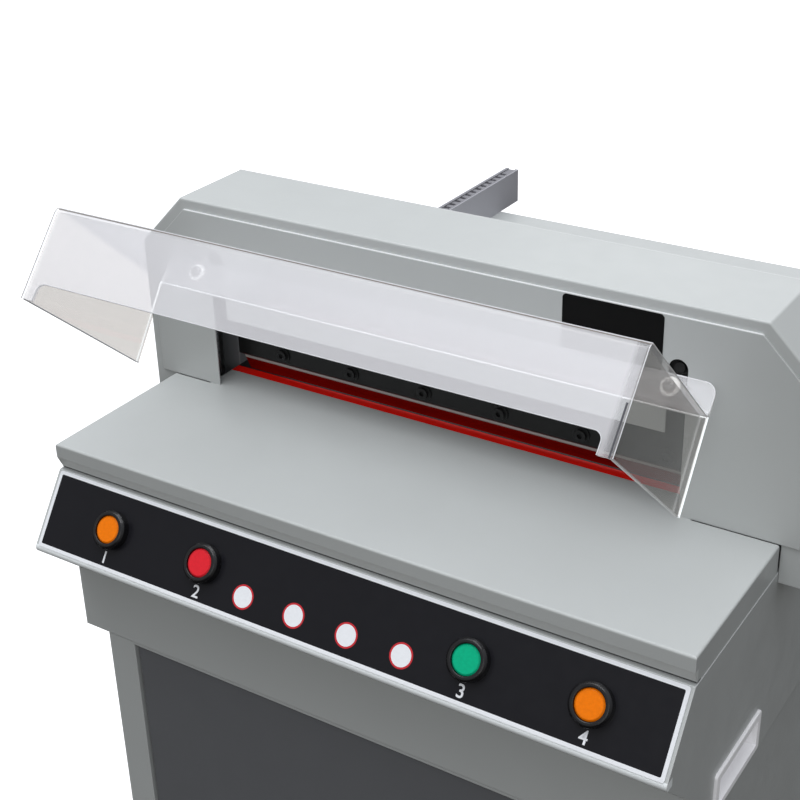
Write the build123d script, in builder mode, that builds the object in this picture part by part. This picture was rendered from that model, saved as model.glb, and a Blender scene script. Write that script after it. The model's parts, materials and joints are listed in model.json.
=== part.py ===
from build123d import *
import os
from math import cos, hypot, radians, sin

os.makedirs("parts", exist_ok=True)

# An electric guillotine for paper, on its own cabinet. X runs along the knife,
# Y from the operator to the back of the machine, Z up. The origin is on the
# floor, under the middle of the whole machine.

# Overall sizes
table_top = 889
throat_x = -15
throat_half = 232
throat_rise = 71
table_side_margin = 69
table_front_reach = 164
casing_proud = 0.5
casing_rear_reach = 536
head_overhang = 24.5
head_drop = 35
head_chamfer = 50

# Sheet metal and clearances
sheet = 2
play = 0.3
running = 0.05
overrun = 10

# Control panel, seen from the side. Below it the casing slopes back to an apron.
panel_setback = 1.7
panel_run = 40.7
panel_fall = 58
panel_lip = 3
panel_nose = 5
apron_setback = 7
underside_fall = 46

# The head is as deep as the knife guides, the knife and the clamp inside it
gib_front_setback = 5
gib_thickness = 9.5
frame_front_setback = 45
flange_thickness = 10
blade_thickness = 7.5
clamp_gap = 0.5
clamp_depth = 37.3
clamp_rear_gap = 8.5

# It is as high as the clamp, the cross beam and the clamp's motor
clamp_low_rise = 47
clamp_height = 44
clamp_beam_gap = 21
beam_height = 26
beam_cover_gap = 43

# Fences behind the head reach further than anything else
fence_overhang = 45

table_half = throat_half + table_side_margin
casing_half = table_half + casing_proud
head_half = casing_half + head_overhang

flange_front_setback = frame_front_setback - flange_thickness
blade_rear_setback = flange_front_setback - play + blade_thickness
clamp_rear_setback = blade_rear_setback + clamp_gap + clamp_depth
head_depth = clamp_rear_setback + clamp_rear_gap + sheet

beam_low_rise = clamp_low_rise + clamp_height + clamp_beam_gap
beam_high_rise = beam_low_rise + beam_height
head_rise = beam_high_rise + beam_cover_gap
head_top = table_top + head_rise

# The nose under the panel is rounded, so its foremost point lies behind the
# corner where the panel and the sloping underside would meet
panel_length = hypot(panel_run, panel_fall)
panel_top_reach = table_front_reach - panel_setback
apron_reach = table_front_reach - apron_setback
corner_reach = panel_top_reach + (panel_fall + panel_lip) * panel_run / panel_fall
underside_run = corner_reach - apron_reach
underside_length = hypot(underside_run, underside_fall)
corner_turn = (panel_fall * underside_fall - panel_run * underside_run) / (panel_length * underside_length)
corner_lean = panel_fall / panel_length + underside_fall / underside_length
front_reach = corner_reach + panel_nose - panel_nose * corner_lean / (1 + corner_turn)
rear_reach = casing_rear_reach + fence_overhang
head_y = (front_reach - rear_reach) / 2


def facing(depth):
    """Upright plane seen from the front, this far behind the head's face."""
    return Plane.XZ.offset(-(head_y + depth))


def head_outline(inset, low):
    """Front view of the head, this far inside its outline, down to a height."""
    half = head_half - inset
    high = head_top - inset
    cut = head_chamfer - inset * (2 - 2 ** 0.5)
    return [
        (-half, low),
        (-half, high - cut),
        (-half + cut, high),
        (half - cut, high),
        (half, high - cut),
        (half, low),
    ]


# Casing under the tables
table_lip = 26
casing_drop = 197
casing_ledge = 15
pan_opening_half = 200
pan_opening_front = 100
pan_opening_rear = 400

casing_top = table_top - table_lip
casing_bottom = table_top - casing_drop
casing_rear = head_y + casing_rear_reach
pan_top = casing_bottom + sheet

# Push buttons
button_middle = 5
button_pitch_outer = 458
button_pitch_inner = 255
button_hole_radius = 11.2
overlay_thickness = 0.6
overlay_side_inset = 3
overlay_inset = 1
overlay_corner = 2

# Recessed carrying handles
handle_middle_reach = 57
handle_length = 95
handle_height = 40
handle_drop = 170
handle_rim = 4
handle_rim_thickness = 2.5
handle_depth = 24
handle_wall = 3
handle_draft = 3

# Lead screw of the back gauge
gauge_screw_drop = 46
gauge_screw_radius = 8
gauge_screw_hole = 10

# Mains inlet
inlet_x = 215
inlet_drop = 150
inlet_width = 48
inlet_height = 24
inlet_socket_width = 28
inlet_socket_height = 20
inlet_depth = 24
inlet_flange = 2.5
inlet_pin_width = 2
inlet_pin_height = 4
inlet_pin_length = 14
inlet_pin_pitch = 14
inlet_pin_rise = 4

panel_top_y = head_y - panel_top_reach
panel_plane = Plane(
    origin=(0, panel_top_y - panel_run / 2, casing_top - panel_fall / 2),
    x_dir=(1, 0, 0),
    z_dir=(0, -panel_fall, panel_run),
)
button_places = [
    (button_middle - button_pitch_outer / 2, 0),
    (button_middle - button_pitch_inner / 2, 0),
    (button_middle + button_pitch_inner / 2, 0),
    (button_middle + button_pitch_outer / 2, 0),
]
panel_low = casing_top - panel_fall - panel_lip
gauge_screw_z = table_top - gauge_screw_drop
handle_y = head_y - handle_middle_reach
handle_z = table_top - handle_drop

# The casing is one folded shell: a sloped panel, a sloped underside, an apron,
# two sides and a back, open at the top under the tables, with a pan below.
casing_points = [
    (panel_top_y, casing_top),
    (head_y - corner_reach, panel_low),
    (head_y - apron_reach, panel_low - underside_fall),
    (head_y - apron_reach, casing_bottom),
    (casing_rear, casing_bottom),
    (casing_rear, casing_top),
]
with BuildPart() as body_casing:
    with BuildSketch(Plane.YZ) as casing_side:
        with BuildLine():
            Polyline(casing_points, close=True)
        make_face()
        fillet(casing_side.vertices().sort_by(Axis.X)[0], radius=panel_nose)
    extrude(amount=casing_half, both=True)
    with BuildSketch(Plane.YZ):
        add(casing_side.sketch_local)
        offset(amount=-sheet)
    extrude(amount=casing_half - sheet, both=True, mode=Mode.SUBTRACT)
    top_mouth_front = panel_top_y + casing_ledge
    top_mouth_rear = casing_rear - casing_ledge
    with BuildSketch(Plane.XY.offset(casing_top)):
        with Locations((0, (top_mouth_front + top_mouth_rear) / 2)):
            Rectangle(2 * (casing_half - casing_ledge), top_mouth_rear - top_mouth_front)
    extrude(amount=-2 * sheet, mode=Mode.SUBTRACT)
    with BuildSketch(Plane.XY.offset(casing_bottom)):
        with Locations((0, head_y + (pan_opening_rear - pan_opening_front) / 2)):
            Rectangle(2 * pan_opening_half, pan_opening_front + pan_opening_rear)
    extrude(amount=2 * sheet, both=True, mode=Mode.SUBTRACT)
    with BuildSketch(panel_plane):
        with Locations(button_places):
            Circle(button_hole_radius)
    extrude(amount=-2 * sheet, mode=Mode.SUBTRACT)
    with BuildSketch(Plane.YZ):
        with Locations((handle_y, handle_z)):
            Rectangle(handle_length - 2 * handle_rim, handle_height - 2 * handle_rim)
    extrude(amount=casing_half + overrun, both=True, mode=Mode.SUBTRACT)
    with BuildSketch(facing(casing_rear_reach)):
        with Locations((throat_x, gauge_screw_z)):
            Circle(gauge_screw_hole)
        with Locations((inlet_x, table_top - inlet_drop)):
            Rectangle(inlet_socket_width, inlet_socket_height)
    extrude(amount=2 * sheet, both=True, mode=Mode.SUBTRACT)
body_casing.part.label = "body_casing"
export_step(body_casing.part, "parts/body_casing.step")

# Moulded handle cups, let into the sides of the casing
for side, turn in (("left", -1), ("right", 1)):
    cup_plane = Plane(
        origin=(turn * casing_half, handle_y, handle_z),
        x_dir=(0, turn, 0),
        z_dir=(turn, 0, 0),
    )
    with BuildPart() as carry_handle:
        with BuildSketch(cup_plane):
            RectangleRounded(handle_length, handle_height, handle_rim)
        extrude(amount=handle_rim_thickness)
        fillet(
            carry_handle.faces().sort_by(Axis(cup_plane.origin, cup_plane.z_dir))[-1].edges(),
            radius=handle_rim_thickness / 2,
        )
        with BuildSketch(cup_plane):
            Rectangle(
                handle_length - 2 * handle_rim - 2 * play,
                handle_height - 2 * handle_rim - 2 * play,
            )
        extrude(amount=-handle_depth)
        with BuildSketch(cup_plane.offset(handle_rim_thickness)):
            Rectangle(
                handle_length - 2 * handle_rim - 2 * handle_wall,
                handle_height - 2 * handle_rim - 2 * handle_wall,
            )
        extrude(
            amount=-(handle_rim_thickness + handle_depth - handle_wall),
            taper=handle_draft,
            mode=Mode.SUBTRACT,
        )
    carry_handle.part.label = f"carry_handle_{side}"
    export_step(carry_handle.part, f"parts/carry_handle_{side}.step")

# Cutting bed and the stick that the knife comes down on
stick_setback = 32
stick_width = 10.5
stick_depth = 10
frame_throat_gap = 11
bed_rear_gap = 3.5
bed_foot = 14
bed_front_setback = 6

frame_inner = throat_half + frame_throat_gap
bed_rear_setback = head_depth + bed_rear_gap
stick_half = frame_inner - play
stick_y = head_y + stick_setback
bed_bottom = table_top - stick_depth - bed_foot

with BuildPart() as cutting_stick:
    with BuildSketch(Plane.YZ.offset(throat_x)):
        with Locations((stick_y + stick_width / 2, table_top - stick_depth / 2)):
            Rectangle(stick_width, stick_depth)
    extrude(amount=stick_half, both=True)
cutting_stick.part.label = "cutting_stick"
export_step(cutting_stick.part, "parts/cutting_stick.step")

# The bed is an L in section: the stick lies on its ledge, between the bed and
# the back edge of the front table.
with BuildPart() as bed_plate:
    bed_step = stick_y + stick_width + play
    with BuildSketch(Plane.YZ.offset(throat_x)):
        with BuildLine():
            Polyline(
                (head_y + bed_front_setback, bed_bottom),
                (head_y + bed_rear_setback, bed_bottom),
                (head_y + bed_rear_setback, table_top),
                (bed_step, table_top),
                (bed_step, table_top - stick_depth),
                (head_y + bed_front_setback, table_top - stick_depth),
                close=True,
            )
        make_face()
    extrude(amount=frame_inner, both=True)
bed_plate.part.label = "bed_plate"
export_step(bed_plate.part, "parts/bed_plate.step")

# Front table: a folded tray, upside down, with a tongue that runs back
# between the columns to the cutting stick
table_sheet = 2.5
table_gap = 1
lip_upright = 13
lip_tuck = 6
table_round = 2

with BuildPart() as front_table:
    table_front = head_y - table_front_reach
    table_back = head_y - table_gap
    with BuildSketch(Plane.YZ) as table_side:
        with BuildLine():
            Polyline(
                (table_front, table_top),
                (table_back, table_top),
                (table_back, casing_top),
                (table_front + lip_tuck, casing_top),
                (table_front, table_top - lip_upright),
                close=True,
            )
        make_face()
    extrude(amount=table_half, both=True)
    with BuildSketch(Plane.YZ):
        add(table_side.sketch_local)
        offset(amount=-table_sheet)
        with Locations(((table_front + lip_tuck + table_back) / 2, casing_top)):
            Rectangle(table_back - table_front - lip_tuck - 2 * table_sheet, 3 * table_sheet)
    extrude(amount=table_half - table_sheet, both=True, mode=Mode.SUBTRACT)
    fillet(front_table.edges().group_by(Axis.Z)[-1].sort_by(Axis.Y)[0:3], radius=table_round)
    with BuildSketch(Plane.XY.offset(table_top)):
        with Locations((throat_x, (table_back + stick_y - play) / 2)):
            Rectangle(2 * (frame_inner - play), stick_y - play - table_back + 2 * table_sheet)
    extrude(amount=-table_sheet)
    with BuildSketch(Plane.XY.offset(table_top)):
        with Locations((throat_x, stick_y - play)):
            Rectangle(2 * frame_inner, 2 * table_sheet, align=(Align.CENTER, Align.MIN))
    extrude(amount=-table_sheet, mode=Mode.SUBTRACT)
front_table.part.label = "front_table"
export_step(front_table.part, "parts/front_table.step")

# Rear table: another folded tray, slotted for the neck of the back gauge
rear_table_overhang = 3
gauge_slot_half = 9
gauge_slot_front_inset = 17
gauge_slot_rear_inset = 34

with BuildPart() as rear_table:
    rear_table_front = head_y + bed_rear_setback + table_gap
    rear_table_rear = casing_rear + rear_table_overhang
    rear_table_length = rear_table_rear - rear_table_front
    rear_middle = (rear_table_front + rear_table_rear) / 2
    with BuildSketch(Plane.XY.offset(casing_top)):
        with Locations((0, rear_middle)):
            Rectangle(2 * table_half, rear_table_length)
    extrude(amount=table_lip)
    fillet(rear_table.edges().group_by(Axis.Z)[-1], radius=table_round)
    with BuildSketch(Plane.XY.offset(casing_top)):
        with Locations((0, rear_middle)):
            Rectangle(2 * (table_half - table_sheet), rear_table_length - 2 * table_sheet)
    extrude(amount=table_lip - table_sheet, mode=Mode.SUBTRACT)
    slot_front = rear_table_front + gauge_slot_front_inset
    slot_rear = rear_table_rear - gauge_slot_rear_inset
    with BuildSketch(Plane.XY.offset(table_top)):
        with Locations((throat_x, (slot_front + slot_rear) / 2)):
            SlotOverall(slot_rear - slot_front, 2 * gauge_slot_half, rotation=90)
    extrude(amount=-2 * table_sheet, mode=Mode.SUBTRACT)
rear_table.part.label = "rear_table"
export_step(rear_table.part, "parts/rear_table.step")

# Control panel overlay: a thin printed plate with four holes
with BuildPart() as panel_overlay:
    with BuildSketch(panel_plane):
        RectangleRounded(
            2 * (casing_half - overlay_side_inset),
            panel_length - 2 * overlay_inset,
            overlay_corner,
        )
        with Locations(button_places):
            Circle(button_hole_radius, mode=Mode.SUBTRACT)
    extrude(amount=overlay_thickness)
panel_overlay.part.label = "panel_overlay"
export_step(panel_overlay.part, "parts/panel_overlay.step")

# Illuminated push buttons: a black collar in front of the panel, a lens that
# is pressed, and the switch behind
bezel_radius = 17
bezel_height = 8.3
bezel_chamfer = 2
lens_radius = 12
lens_height = 7.6
lens_chamfer = 1.2
bezel_bore = 12.4
stem_radius = 7
stem_length = 16
switch_bore = 7.5
switch_neck_radius = 10.9
switch_neck = 16
switch_block = 26
switch_round = 2
switch_block_depth = 19
switch_hole_depth = 24

collar_seat = panel_plane.offset(overlay_thickness)
with BuildPart() as button_bezels:
    with BuildSketch(collar_seat):
        with Locations(button_places):
            Circle(bezel_radius)
    extrude(amount=bezel_height)
    chamfer(
        button_bezels.faces().group_by(Axis(panel_plane.origin, panel_plane.z_dir))[-1].edges(),
        length=bezel_chamfer,
    )
    with BuildSketch(collar_seat):
        with Locations(button_places):
            Circle(bezel_bore)
    extrude(amount=bezel_height, mode=Mode.SUBTRACT)
button_bezels.part.label = "button_bezels"
export_step(button_bezels.part, "parts/button_bezels.step")

with BuildPart() as switch_bodies:
    with BuildSketch(collar_seat):
        with Locations(button_places):
            Circle(switch_neck_radius)
    extrude(amount=-switch_neck)
    with BuildSketch(collar_seat.offset(-switch_neck)):
        with Locations(button_places):
            RectangleRounded(switch_block, switch_block, switch_round)
    extrude(amount=-switch_block_depth)
    with BuildSketch(collar_seat):
        with Locations(button_places):
            Circle(switch_bore)
    extrude(amount=-switch_hole_depth, mode=Mode.SUBTRACT)
switch_bodies.part.label = "switch_bodies"
export_step(switch_bodies.part, "parts/switch_bodies.step")

button_travel = 3
button_names = ("left_cut", "power", "reset", "right_cut")
for button_name, place in zip(button_names, button_places):
    lens_plane = Plane(
        origin=panel_plane.from_local_coords((place[0], place[1], overlay_thickness)),
        x_dir=panel_plane.x_dir,
        z_dir=panel_plane.z_dir,
    )
    with BuildPart() as button_cap:
        with BuildSketch(lens_plane.offset(button_travel + play)):
            Circle(lens_radius)
        extrude(amount=lens_height - button_travel - play)
        chamfer(
            button_cap.faces().sort_by(Axis(lens_plane.origin, lens_plane.z_dir))[-1].edges(),
            length=lens_chamfer,
        )
        with BuildSketch(lens_plane.offset(button_travel + play)):
            Circle(stem_radius)
        extrude(amount=-stem_length)
    button_cap.part.label = f"button_{button_name}"
    export_step(button_cap.part, f"parts/button_{button_name}.step")

# Side frames, tied by a cross beam: they carry the knife, clamp and bed
frame_thickness = 20
flange_reach = 25
flange_low_rise = 60
frame_rear_setback = head_depth - sheet
frame_top = head_top - sheet

flange_width = frame_thickness + flange_reach
for side, turn in (("left", -1), ("right", 1)):
    inner_x = throat_x + turn * frame_inner
    with BuildPart() as side_frame:
        with BuildSketch(Plane.YZ.offset(inner_x)):
            with BuildLine():
                Polyline(
                    (head_y + frame_front_setback, pan_top),
                    (head_y + frame_rear_setback, pan_top),
                    (head_y + frame_rear_setback, frame_top),
                    (head_y + flange_front_setback, frame_top),
                    (head_y + flange_front_setback, table_top + flange_low_rise),
                    (head_y + frame_front_setback, table_top + flange_low_rise - flange_thickness),
                    close=True,
                )
            make_face()
        extrude(amount=turn * frame_thickness)
        with BuildSketch(Plane.XY.offset(table_top + flange_low_rise)):
            with Locations((inner_x + turn * flange_width / 2, head_y + flange_front_setback)):
                Rectangle(flange_width, flange_thickness, align=(Align.CENTER, Align.MIN))
        extrude(amount=frame_top - table_top - flange_low_rise)
        with BuildSketch(facing(0)):
            with BuildLine():
                Polyline(head_outline(sheet, pan_top), close=True)
            make_face()
        extrude(amount=-head_depth, mode=Mode.INTERSECT)
    side_frame.part.label = f"side_frame_{side}"
    export_step(side_frame.part, f"parts/side_frame_{side}.step")

# Cross beam between the frames, bored for the clamp's guide rods and screw
beam_depth = 32
clamp_rod_radius = 8
clamp_rod_pitch = 300
clamp_rod_inset = 14
clamp_screw_radius = 7

clamp_rear = head_y + clamp_rear_setback
clamp_y = clamp_rear - clamp_rod_inset
clamp_rod_places = [(throat_x + turn * clamp_rod_pitch / 2, clamp_y) for turn in (-1, 1)]
beam_bottom = table_top + beam_low_rise
beam_top = table_top + beam_high_rise
with BuildPart() as cross_beam:
    with BuildSketch(Plane.XY.offset(beam_bottom)):
        with Locations((throat_x, clamp_y)):
            Rectangle(2 * frame_inner, beam_depth)
        with Locations(clamp_rod_places):
            Circle(clamp_rod_radius + running, mode=Mode.SUBTRACT)
        with Locations((throat_x, clamp_y)):
            Circle(clamp_screw_radius + running, mode=Mode.SUBTRACT)
    extrude(amount=beam_height)
cross_beam.part.label = "cross_beam"
export_step(cross_beam.part, "parts/cross_beam.step")

# Knife guides: an L-shaped gib on the front flange of each frame, with the
# carrier's end sliding between gib and flange
gib_low_rise = 75
gib_top_gap = 9
gib_spacer = 16
gib_inboard = 30
slot_radius = 8
slot_top_drop = 45
bolt_head_radius = 5
bolt_head_height = 3

gib_front = head_y + gib_front_setback
gib_outer = frame_inner + flange_width
slot_offset = throat_half - slot_radius
slot_centre_z = head_top - slot_top_drop - slot_radius
with BuildPart() as guide_bolts:
    with BuildSketch(facing(gib_front_setback)):
        with Locations((throat_x - slot_offset, slot_centre_z), (throat_x + slot_offset, slot_centre_z)):
            Circle(bolt_head_radius)
    extrude(amount=bolt_head_height)
    fillet(guide_bolts.faces().group_by(Axis.Y)[0].edges(), radius=bolt_head_height / 3)
guide_bolts.part.label = "guide_bolts"
export_step(guide_bolts.part, "parts/guide_bolts.step")

for side, turn in (("left", -1), ("right", 1)):
    gib_inner_x = throat_x + turn * (frame_inner - gib_inboard)
    gib_outer_x = throat_x + turn * gib_outer
    with BuildPart() as knife_guide:
        with BuildSketch(Plane.XY.offset(table_top + gib_low_rise)):
            with BuildLine():
                Polyline(
                    (gib_inner_x, gib_front),
                    (gib_outer_x, gib_front),
                    (gib_outer_x, head_y + flange_front_setback),
                    (gib_outer_x - turn * gib_spacer, head_y + flange_front_setback),
                    (gib_outer_x - turn * gib_spacer, gib_front + gib_thickness),
                    (gib_inner_x, gib_front + gib_thickness),
                    close=True,
                )
            make_face()
        extrude(amount=head_rise - gib_top_gap - gib_low_rise)
        with BuildSketch(facing(0)):
            with BuildLine():
                Polyline(head_outline(sheet + play, pan_top), close=True)
            make_face()
        extrude(amount=-head_depth, mode=Mode.INTERSECT)
    knife_guide.part.label = f"knife_guide_{side}"
    export_step(knife_guide.part, f"parts/knife_guide_{side}.step")

# Head covers: a folded outer shell, a face plate with the paper opening and
# its two upright slots, and a flat cover at the back
face_plate_thickness = 1.5
face_inset = 10
head_fold = 3
head_front_round = 2

head_low = table_top - head_drop
shell_front = face_plate_thickness
shell_depth = head_depth - sheet - shell_front
with BuildPart() as head_shell:
    with BuildSketch(facing(shell_front)):
        with BuildLine():
            Polyline(head_outline(0, head_low), close=True)
        make_face()
    extrude(amount=-shell_depth)
    fillet(head_shell.edges().filter_by(Axis.Y).sort_by(Axis.Z)[2:], radius=head_fold)
    fillet(head_shell.faces().sort_by(Axis.Y)[0].edges().sort_by(Axis.Z)[1:], radius=head_front_round)
    with BuildSketch(facing(shell_front + sheet)):
        with BuildLine():
            Polyline(head_outline(sheet, head_low + sheet), close=True)
        make_face()
    extrude(amount=-shell_depth, mode=Mode.SUBTRACT)
    with BuildSketch(facing(shell_front)):
        with BuildLine():
            Polyline(head_outline(head_overhang, casing_top), close=True)
        make_face()
        with Locations((0, casing_top + play)):
            Rectangle(2 * (casing_half + play), head_drop, align=(Align.CENTER, Align.MAX))
        with Locations((throat_x, table_top)):
            Rectangle(2 * throat_half, 2 * throat_rise)
    extrude(amount=-shell_depth, mode=Mode.SUBTRACT)
head_shell.part.label = "head_shell"
export_step(head_shell.part, "parts/head_shell.step")

with BuildPart() as face_plate:
    with BuildSketch(facing(0)):
        with BuildLine():
            Polyline(head_outline(face_inset, table_top), close=True)
        make_face()
        with Locations((throat_x, table_top)):
            Rectangle(2 * throat_half, 2 * throat_rise, mode=Mode.SUBTRACT)
        with Locations((throat_x - slot_offset, table_top), (throat_x + slot_offset, table_top)):
            Rectangle(2 * slot_radius, 2 * (slot_centre_z - table_top), mode=Mode.SUBTRACT)
        with Locations((throat_x - slot_offset, slot_centre_z), (throat_x + slot_offset, slot_centre_z)):
            Circle(slot_radius, mode=Mode.SUBTRACT)
    extrude(amount=-face_plate_thickness)
face_plate.part.label = "face_plate"
export_step(face_plate.part, "parts/face_plate.step")

with BuildPart() as rear_cover:
    with BuildSketch(facing(head_depth - sheet)):
        with BuildLine():
            Polyline(head_outline(0, head_low), close=True)
        make_face()
        with Locations((0, casing_top + play - head_drop / 2)):
            Rectangle(2 * (casing_half + play), head_drop, mode=Mode.SUBTRACT)
        with Locations((throat_x, table_top)):
            Rectangle(2 * throat_half, 2 * throat_rise, mode=Mode.SUBTRACT)
        with Locations((throat_x, table_top + play - head_drop / 2)):
            Rectangle(2 * (frame_inner + play), head_drop, mode=Mode.SUBTRACT)
    extrude(amount=-sheet)
rear_cover.part.label = "rear_cover"
export_step(rear_cover.part, "parts/rear_cover.step")

# Knife: a black carrier that slides in the guides, with the ground blade
# bolted behind its lower edge
carrier_beam_rise = 76
carrier_beam_height = 46
carrier_end_gap = 2
carrier_plate_thickness = 7
carrier_plate_rise = 22
carrier_throat_gap = 4
carrier_bevel = 2
blade_edge_rise = 1.5
blade_bevel = 16
blade_height = 58
blade_throat_gap = 5
bolt_first_inset = 52
bolt_last_inset = 15
bolt_pitch = 77
bolt_rise = 33
bolt_radius = 5.5
bolt_stand = 2.5
bolt_socket = 2.5
washer_radius = 8
washer_thickness = 1.2

carrier_rear = head_y + flange_front_setback - play
carrier_front = gib_front + gib_thickness + play
carrier_plate_front = carrier_rear - carrier_plate_thickness
carrier_low = table_top + carrier_plate_rise
carrier_step = table_top + carrier_beam_rise
carrier_high = carrier_step + carrier_beam_height
carrier_half = gib_outer - gib_spacer - carrier_end_gap
carrier_plate_half = throat_half - carrier_throat_gap
blade_half = throat_half - blade_throat_gap
bolt_first_x = throat_x - carrier_plate_half + bolt_first_inset
bolt_count = 1 + int((2 * carrier_plate_half - bolt_first_inset - bolt_last_inset) / bolt_pitch)
bolt_places = [
    (bolt_first_x + bolt_pitch * step, table_top + bolt_rise) for step in range(bolt_count)
]

with BuildPart() as knife_carrier:
    with BuildSketch(Plane.YZ.offset(throat_x)):
        with BuildLine():
            Polyline(
                (carrier_rear, carrier_step),
                (carrier_rear, carrier_high),
                (carrier_front, carrier_high),
                (carrier_front, carrier_step),
                close=True,
            )
        make_face()
    extrude(amount=carrier_half, both=True)
    with BuildSketch(Plane.YZ.offset(throat_x)):
        with BuildLine():
            Polyline(
                (carrier_rear, carrier_low),
                (carrier_rear, carrier_step),
                (carrier_plate_front, carrier_step),
                (carrier_plate_front, carrier_low + carrier_bevel),
                (carrier_plate_front + carrier_bevel, carrier_low),
                close=True,
            )
        make_face()
    extrude(amount=carrier_plate_half, both=True)
knife_carrier.part.label = "knife_carrier"
export_step(knife_carrier.part, "parts/knife_carrier.step")

with BuildPart() as knife_blade:
    blade_back = head_y + blade_rear_setback
    blade_edge = table_top + blade_edge_rise
    with BuildSketch(Plane.YZ.offset(throat_x)):
        with BuildLine():
            Polyline(
                (blade_back, blade_edge),
                (blade_back, blade_edge + blade_height),
                (carrier_rear, blade_edge + blade_height),
                (carrier_rear, blade_edge + blade_bevel),
                close=True,
            )
        make_face()
    extrude(amount=blade_half, both=True)
knife_blade.part.label = "knife_blade"
export_step(knife_blade.part, "parts/knife_blade.step")

with BuildPart() as knife_bolts:
    with BuildSketch(Plane.XZ.offset(-carrier_plate_front)):
        with Locations(bolt_places):
            Circle(washer_radius)
    extrude(amount=washer_thickness)
    with BuildSketch(Plane.XZ.offset(-carrier_plate_front + washer_thickness)):
        with Locations(bolt_places):
            Circle(bolt_radius)
    extrude(amount=bolt_stand)
    with BuildSketch(Plane.XZ.offset(-carrier_plate_front + washer_thickness + bolt_stand)):
        with Locations(bolt_places):
            RegularPolygon(bolt_socket, 6)
    extrude(amount=-bolt_stand, mode=Mode.SUBTRACT)
knife_bolts.part.label = "knife_bolts"
export_step(knife_bolts.part, "parts/knife_bolts.step")

# Two rods hang from the carrier's ends and hold the yoke, whose nut runs on
# the knife's lead screw
rod_radius = 7
rod_inset = 11
yoke_drop = 130
yoke_thickness = 20
yoke_width = 28
yoke_boss_radius = 20
yoke_boss_drop = 14
knife_screw_radius = 9

rod_offset = carrier_half - rod_inset
rod_y = (carrier_front + carrier_rear) / 2
yoke_top = table_top - yoke_drop
rod_places = [(throat_x - rod_offset, rod_y), (throat_x + rod_offset, rod_y)]
with BuildPart() as pull_rods:
    with BuildSketch(Plane.XY.offset(yoke_top)):
        with Locations(rod_places):
            Circle(rod_radius)
    extrude(amount=carrier_step - yoke_top)
pull_rods.part.label = "pull_rods"
export_step(pull_rods.part, "parts/pull_rods.step")

with BuildPart() as knife_yoke:
    with BuildSketch(Plane.XY.offset(yoke_top)):
        with Locations((throat_x, rod_y)):
            SlotOverall(2 * rod_offset + yoke_width, yoke_width)
    extrude(amount=-yoke_thickness)
    with BuildSketch(Plane.XY.offset(yoke_top)):
        with Locations((throat_x, rod_y)):
            Circle(yoke_boss_radius)
    extrude(amount=-(yoke_thickness + yoke_boss_drop))
    with BuildSketch(Plane.XY.offset(yoke_top + overrun)):
        with Locations((throat_x, rod_y)):
            Circle(knife_screw_radius + running)
    extrude(amount=-(yoke_thickness + yoke_boss_drop + 2 * overrun), mode=Mode.SUBTRACT)
knife_yoke.part.label = "knife_yoke"
export_step(knife_yoke.part, "parts/knife_yoke.step")

# Gear motor under the pan, on a plate across the pan's opening
mount_thickness = 8
mount_depth = 120
gearbox_width = 90
gearbox_depth = 100
gearbox_height = 90
gearbox_round = 8
gearbox_socket = 24
motor_radius = 42
motor_length = 150
motor_chamfer = 6
knife_travel = 45
knife_screw_spare = 23

knife_screw_low = pan_top - gearbox_socket + play
knife_screw_high = yoke_top + knife_travel + knife_screw_spare
with BuildPart() as motor_mount:
    with BuildSketch(Plane.XY.offset(pan_top)):
        with Locations((throat_x, rod_y)):
            Rectangle(2 * (frame_inner - play), mount_depth)
            Circle(knife_screw_radius + play, mode=Mode.SUBTRACT)
    extrude(amount=mount_thickness)
motor_mount.part.label = "motor_mount"
export_step(motor_mount.part, "parts/motor_mount.step")

with BuildPart() as knife_gearbox:
    with BuildSketch(Plane.XY.offset(pan_top)):
        with Locations((throat_x, rod_y)):
            RectangleRounded(gearbox_width, gearbox_depth, gearbox_round)
    extrude(amount=-gearbox_height)
    with BuildSketch(Plane.XY.offset(pan_top)):
        with Locations((throat_x, rod_y)):
            Circle(knife_screw_radius + running)
    extrude(amount=-gearbox_socket, mode=Mode.SUBTRACT)
knife_gearbox.part.label = "knife_gearbox"
export_step(knife_gearbox.part, "parts/knife_gearbox.step")

with BuildPart() as knife_motor:
    with BuildSketch(Plane.YZ.offset(throat_x + gearbox_width / 2)):
        with Locations((rod_y, pan_top - gearbox_height / 2)):
            Circle(motor_radius)
    extrude(amount=motor_length)
    chamfer(knife_motor.faces().sort_by(Axis.X)[-1].edges(), length=motor_chamfer)
knife_motor.part.label = "knife_motor"
export_step(knife_motor.part, "parts/knife_motor.step")

with BuildPart() as knife_lead_screw:
    with BuildSketch(Plane.XY.offset(knife_screw_low)):
        with Locations((throat_x, rod_y)):
            Circle(knife_screw_radius)
    extrude(amount=knife_screw_high - knife_screw_low)
knife_lead_screw.part.label = "knife_lead_screw"
export_step(knife_lead_screw.part, "parts/knife_lead_screw.step")

# Clamp: a beam behind the knife, hung on two rods in the cross beam and
# driven by its own screw and nut
clamp_throat_gap = 5
clamp_foot = 10
clamp_nut_radius = 13
clamp_nut_height = 26
clamp_nut_sunk = 11
clamp_travel = 45
clamp_rod_sunk = 20
clamp_rod_spare = 6
clamp_screw_pit = 4

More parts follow.
